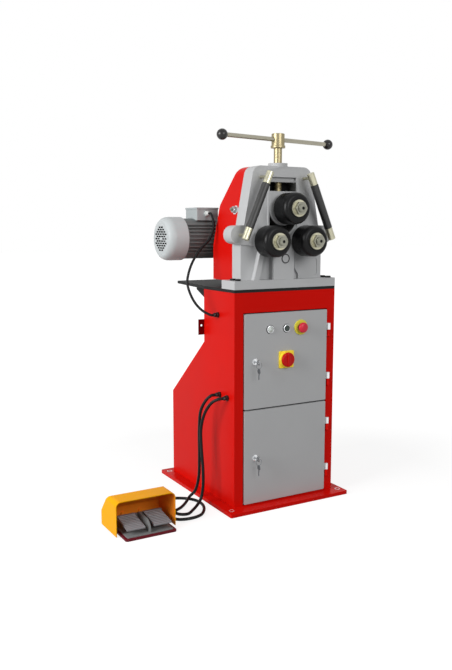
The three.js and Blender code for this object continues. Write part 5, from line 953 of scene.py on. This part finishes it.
grid_y, grid_z = np.meshgrid(lines_y, lines_z)
face_points = np.stack([np.full(grid_y.shape, SHEET / 2 - SHELL_FACE), grid_y + MOTOR_AXIS[1],
                        grid_z + MOTOR_AXIS[2]], -1)
cells = grid_faces(len(lines_z), len(lines_y), wrap=False)[kept.reshape(-1)]
grille = mesh_piece("fan_cover_grille", face_points, cells, weighted=False)
thick = grille.modifiers.new("sheet", "SOLIDIFY")
thick.thickness = GRILLE_THICK
thick.offset = 0
seat_also(grille, "fan_cover", motor_light)
print("grille keeps", int(kept.sum()), "of", kept.size, "cells")

# %% [markdown]
# Whatever has not been modelled anew is a sheet or cast piece whose form the frame already
# has. Each gets eased edges, wide on castings and narrow on sheet, and the paint that its
# slot names, or the one that the real piece differs by. The cabinet shell's own finish also
# carries the painted shade on its lug.

# %% Every other piece
def mark_inner_faces(piece, middle):
    """Face attribute inner = 1 where (face centre - middle) . normal < 0, so it looks inwards."""
    polygons = piece.data.polygons
    centres, normals = np.empty(len(polygons) * 3), np.empty(len(polygons) * 3)
    polygons.foreach_get("center", centres)
    polygons.foreach_get("normal", normals)
    away = np.sum((centres.reshape(-1, 3) - middle) * normals.reshape(-1, 3), axis=1)
    attribute = piece.data.attributes.new("inner", "FLOAT", "FACE")
    attribute.data.foreach_set("value", (away < 0).astype(np.float32))


GUARD_MIDDLE, USUAL_EASING = np.array([-0.613, -0.20, 0.05]), 0.0008
EASING = {"head_casting": 0.0030, "gear_cover": 0.0030, "gearbox": 0.0025, "slide_block": 0.0012,
          "terminal_box": 0.0022, "motor_body": 0.0005, "pedal_guard": 0.0010}
OWN_FINISH = {"terminal_box": box_grey, "pedal_base": pedal_floor, "cabinet_shell": shell_paint}
for node in sorted(set(nodes) - dressed):
    piece = eased_copy(node, EASING.get(node, USUAL_EASING))
    # The guard's inward faces are marked for their painted shade.
    if node == "pedal_guard":
        mark_inner_faces(piece, GUARD_MIDDLE)
    seat(piece, node, OWN_FINISH.get(node, by_slot[slot_of_node[node]]))
print(len(dressed), "nodes have their finish")

# %% [markdown]
# The photograph was taken in a white studio with a large soft light to the left of the camera
# and a weaker one in front, which is why the left side of the cabinet is the brighter one.
# A white floor and backdrop would throw so much light on the machine that its colours wash
# out. So both light it only as grey ones would, and look white to the camera and in
# reflections. The floor still takes the machine's shadow.

# %% Rays that see the background
def looked_at(tree):
    """1 for rays from the camera, in reflections and through glass, 0 for all others."""
    rays = tree.nodes.new("ShaderNodeLightPath").outputs
    seen = rays["Is Camera Ray"]
    for kind in ("Is Glossy Ray", "Is Transmission Ray"):
        seen = add_node(tree, "ShaderNodeMath", {0: seen, 1: rays[kind]}, "MAXIMUM")[0]
    return seen


print("rays told apart")

# %% [markdown]
# The lamps are large, so that shadows have soft edges, as those of studio lamps behind cloth.
# Each is turned to its target by its two angles, where a Track To constraint would also do.

# %% Lamps
def soft_lamp(name, place, target, size, watts):
    """A rectangular lamp at a place, turned to face a target."""
    data = bpy.data.lights.new(name, "AREA")
    data.shape = "RECTANGLE"
    data.size, data.size_y = size
    data.energy = watts
    lamp = bpy.data.objects.new(name, data)
    scene.collection.objects.link(lamp)
    lamp.location = place
    way = np.array(target, float) - np.array(place, float)
    flat = math.hypot(way[0], way[1])
    lamp.rotation_euler = (math.atan2(flat, -way[2]), 0, math.atan2(-way[0], way[1]))


LEFT_WATTS, FRONT_WATTS = 215, 92
soft_lamp("left_light", (-4.6, -0.6, 2.2), (-0.1, 0, 0.75), (2.4, 2.4), LEFT_WATTS)
soft_lamp("front_light", (0.4, -4.6, 2.6), (0, 0, 0.8), (2.6, 2.0), FRONT_WATTS)
print("two lamps set")

# %% [markdown]
# The floor is one large sheet. Near the machine it is lifted a little less towards white, so
# that the contact shadow holds there, and further out it reaches full white without an edge.

# %% Floor and background
FLOOR_HALF, FLOOR_TOP = 30, -0.0005
PLAIN_GREY, SEEN_GREY = (0.28, 0.28, 0.28, 1), (0.26, 0.26, 0.26, 1)
LIFT_STARTS, LIFT_ENDS, NEAR_LIFT, FAR_LIFT = 0.9, 2.2, 0.82, 1.0
corners = ((-1, -1), (1, -1), (1, 1), (-1, 1))
floor_points = [(a * FLOOR_HALF, b * FLOOR_HALF, FLOOR_TOP) for a, b in corners]
floor = mesh_piece("studio_floor", floor_points, [(0, 1, 2, 3)], weighted=False)
paper = bpy.data.materials.new("studio_paper")
paper.use_nodes = True
tree = paper.node_tree
tree.nodes.remove(tree.nodes["Principled BSDF"])
plain = add_node(tree, "ShaderNodeBsdfDiffuse", {"Color": PLAIN_GREY})
shaded = add_node(tree, "ShaderNodeBsdfDiffuse", {"Color": SEEN_GREY})
place = tree.nodes.new("ShaderNodeTexCoord").outputs["Object"]
reach = add_node(tree, "ShaderNodeVectorMath", {0: place}, "LENGTH")["Value"]
outward = add_node(tree, "ShaderNodeMapRange", {
    "Value": reach, "From Min": LIFT_STARTS, "From Max": LIFT_ENDS, "To Min": NEAR_LIFT,
    "To Max": FAR_LIFT})["Result"]
lift = add_node(tree, "ShaderNodeEmission", {"Strength": outward})
lifted = add_node(tree, "ShaderNodeAddShader", {0: shaded[0], 1: lift[0]})
choice = add_node(tree, "ShaderNodeMixShader", {0: looked_at(tree), 1: plain[0], 2: lifted[0]})
tree.links.new(choice[0], tree.nodes["Material Output"].inputs["Surface"])
floor.data.materials.append(paper)

world = bpy.data.worlds.new("studio")
scene.world = world
world.use_nodes = True
tree = world.node_tree
AMBIENT, WHITE = 0.31, 1.0
level = add_node(tree, "ShaderNodeMapRange", {
    "Value": looked_at(tree), "To Min": AMBIENT, "To Max": WHITE})["Result"]
feed(tree, tree.nodes["Background"], {"Strength": level, "Color": (1, 1, 1, 1)})
print("floor and background set")
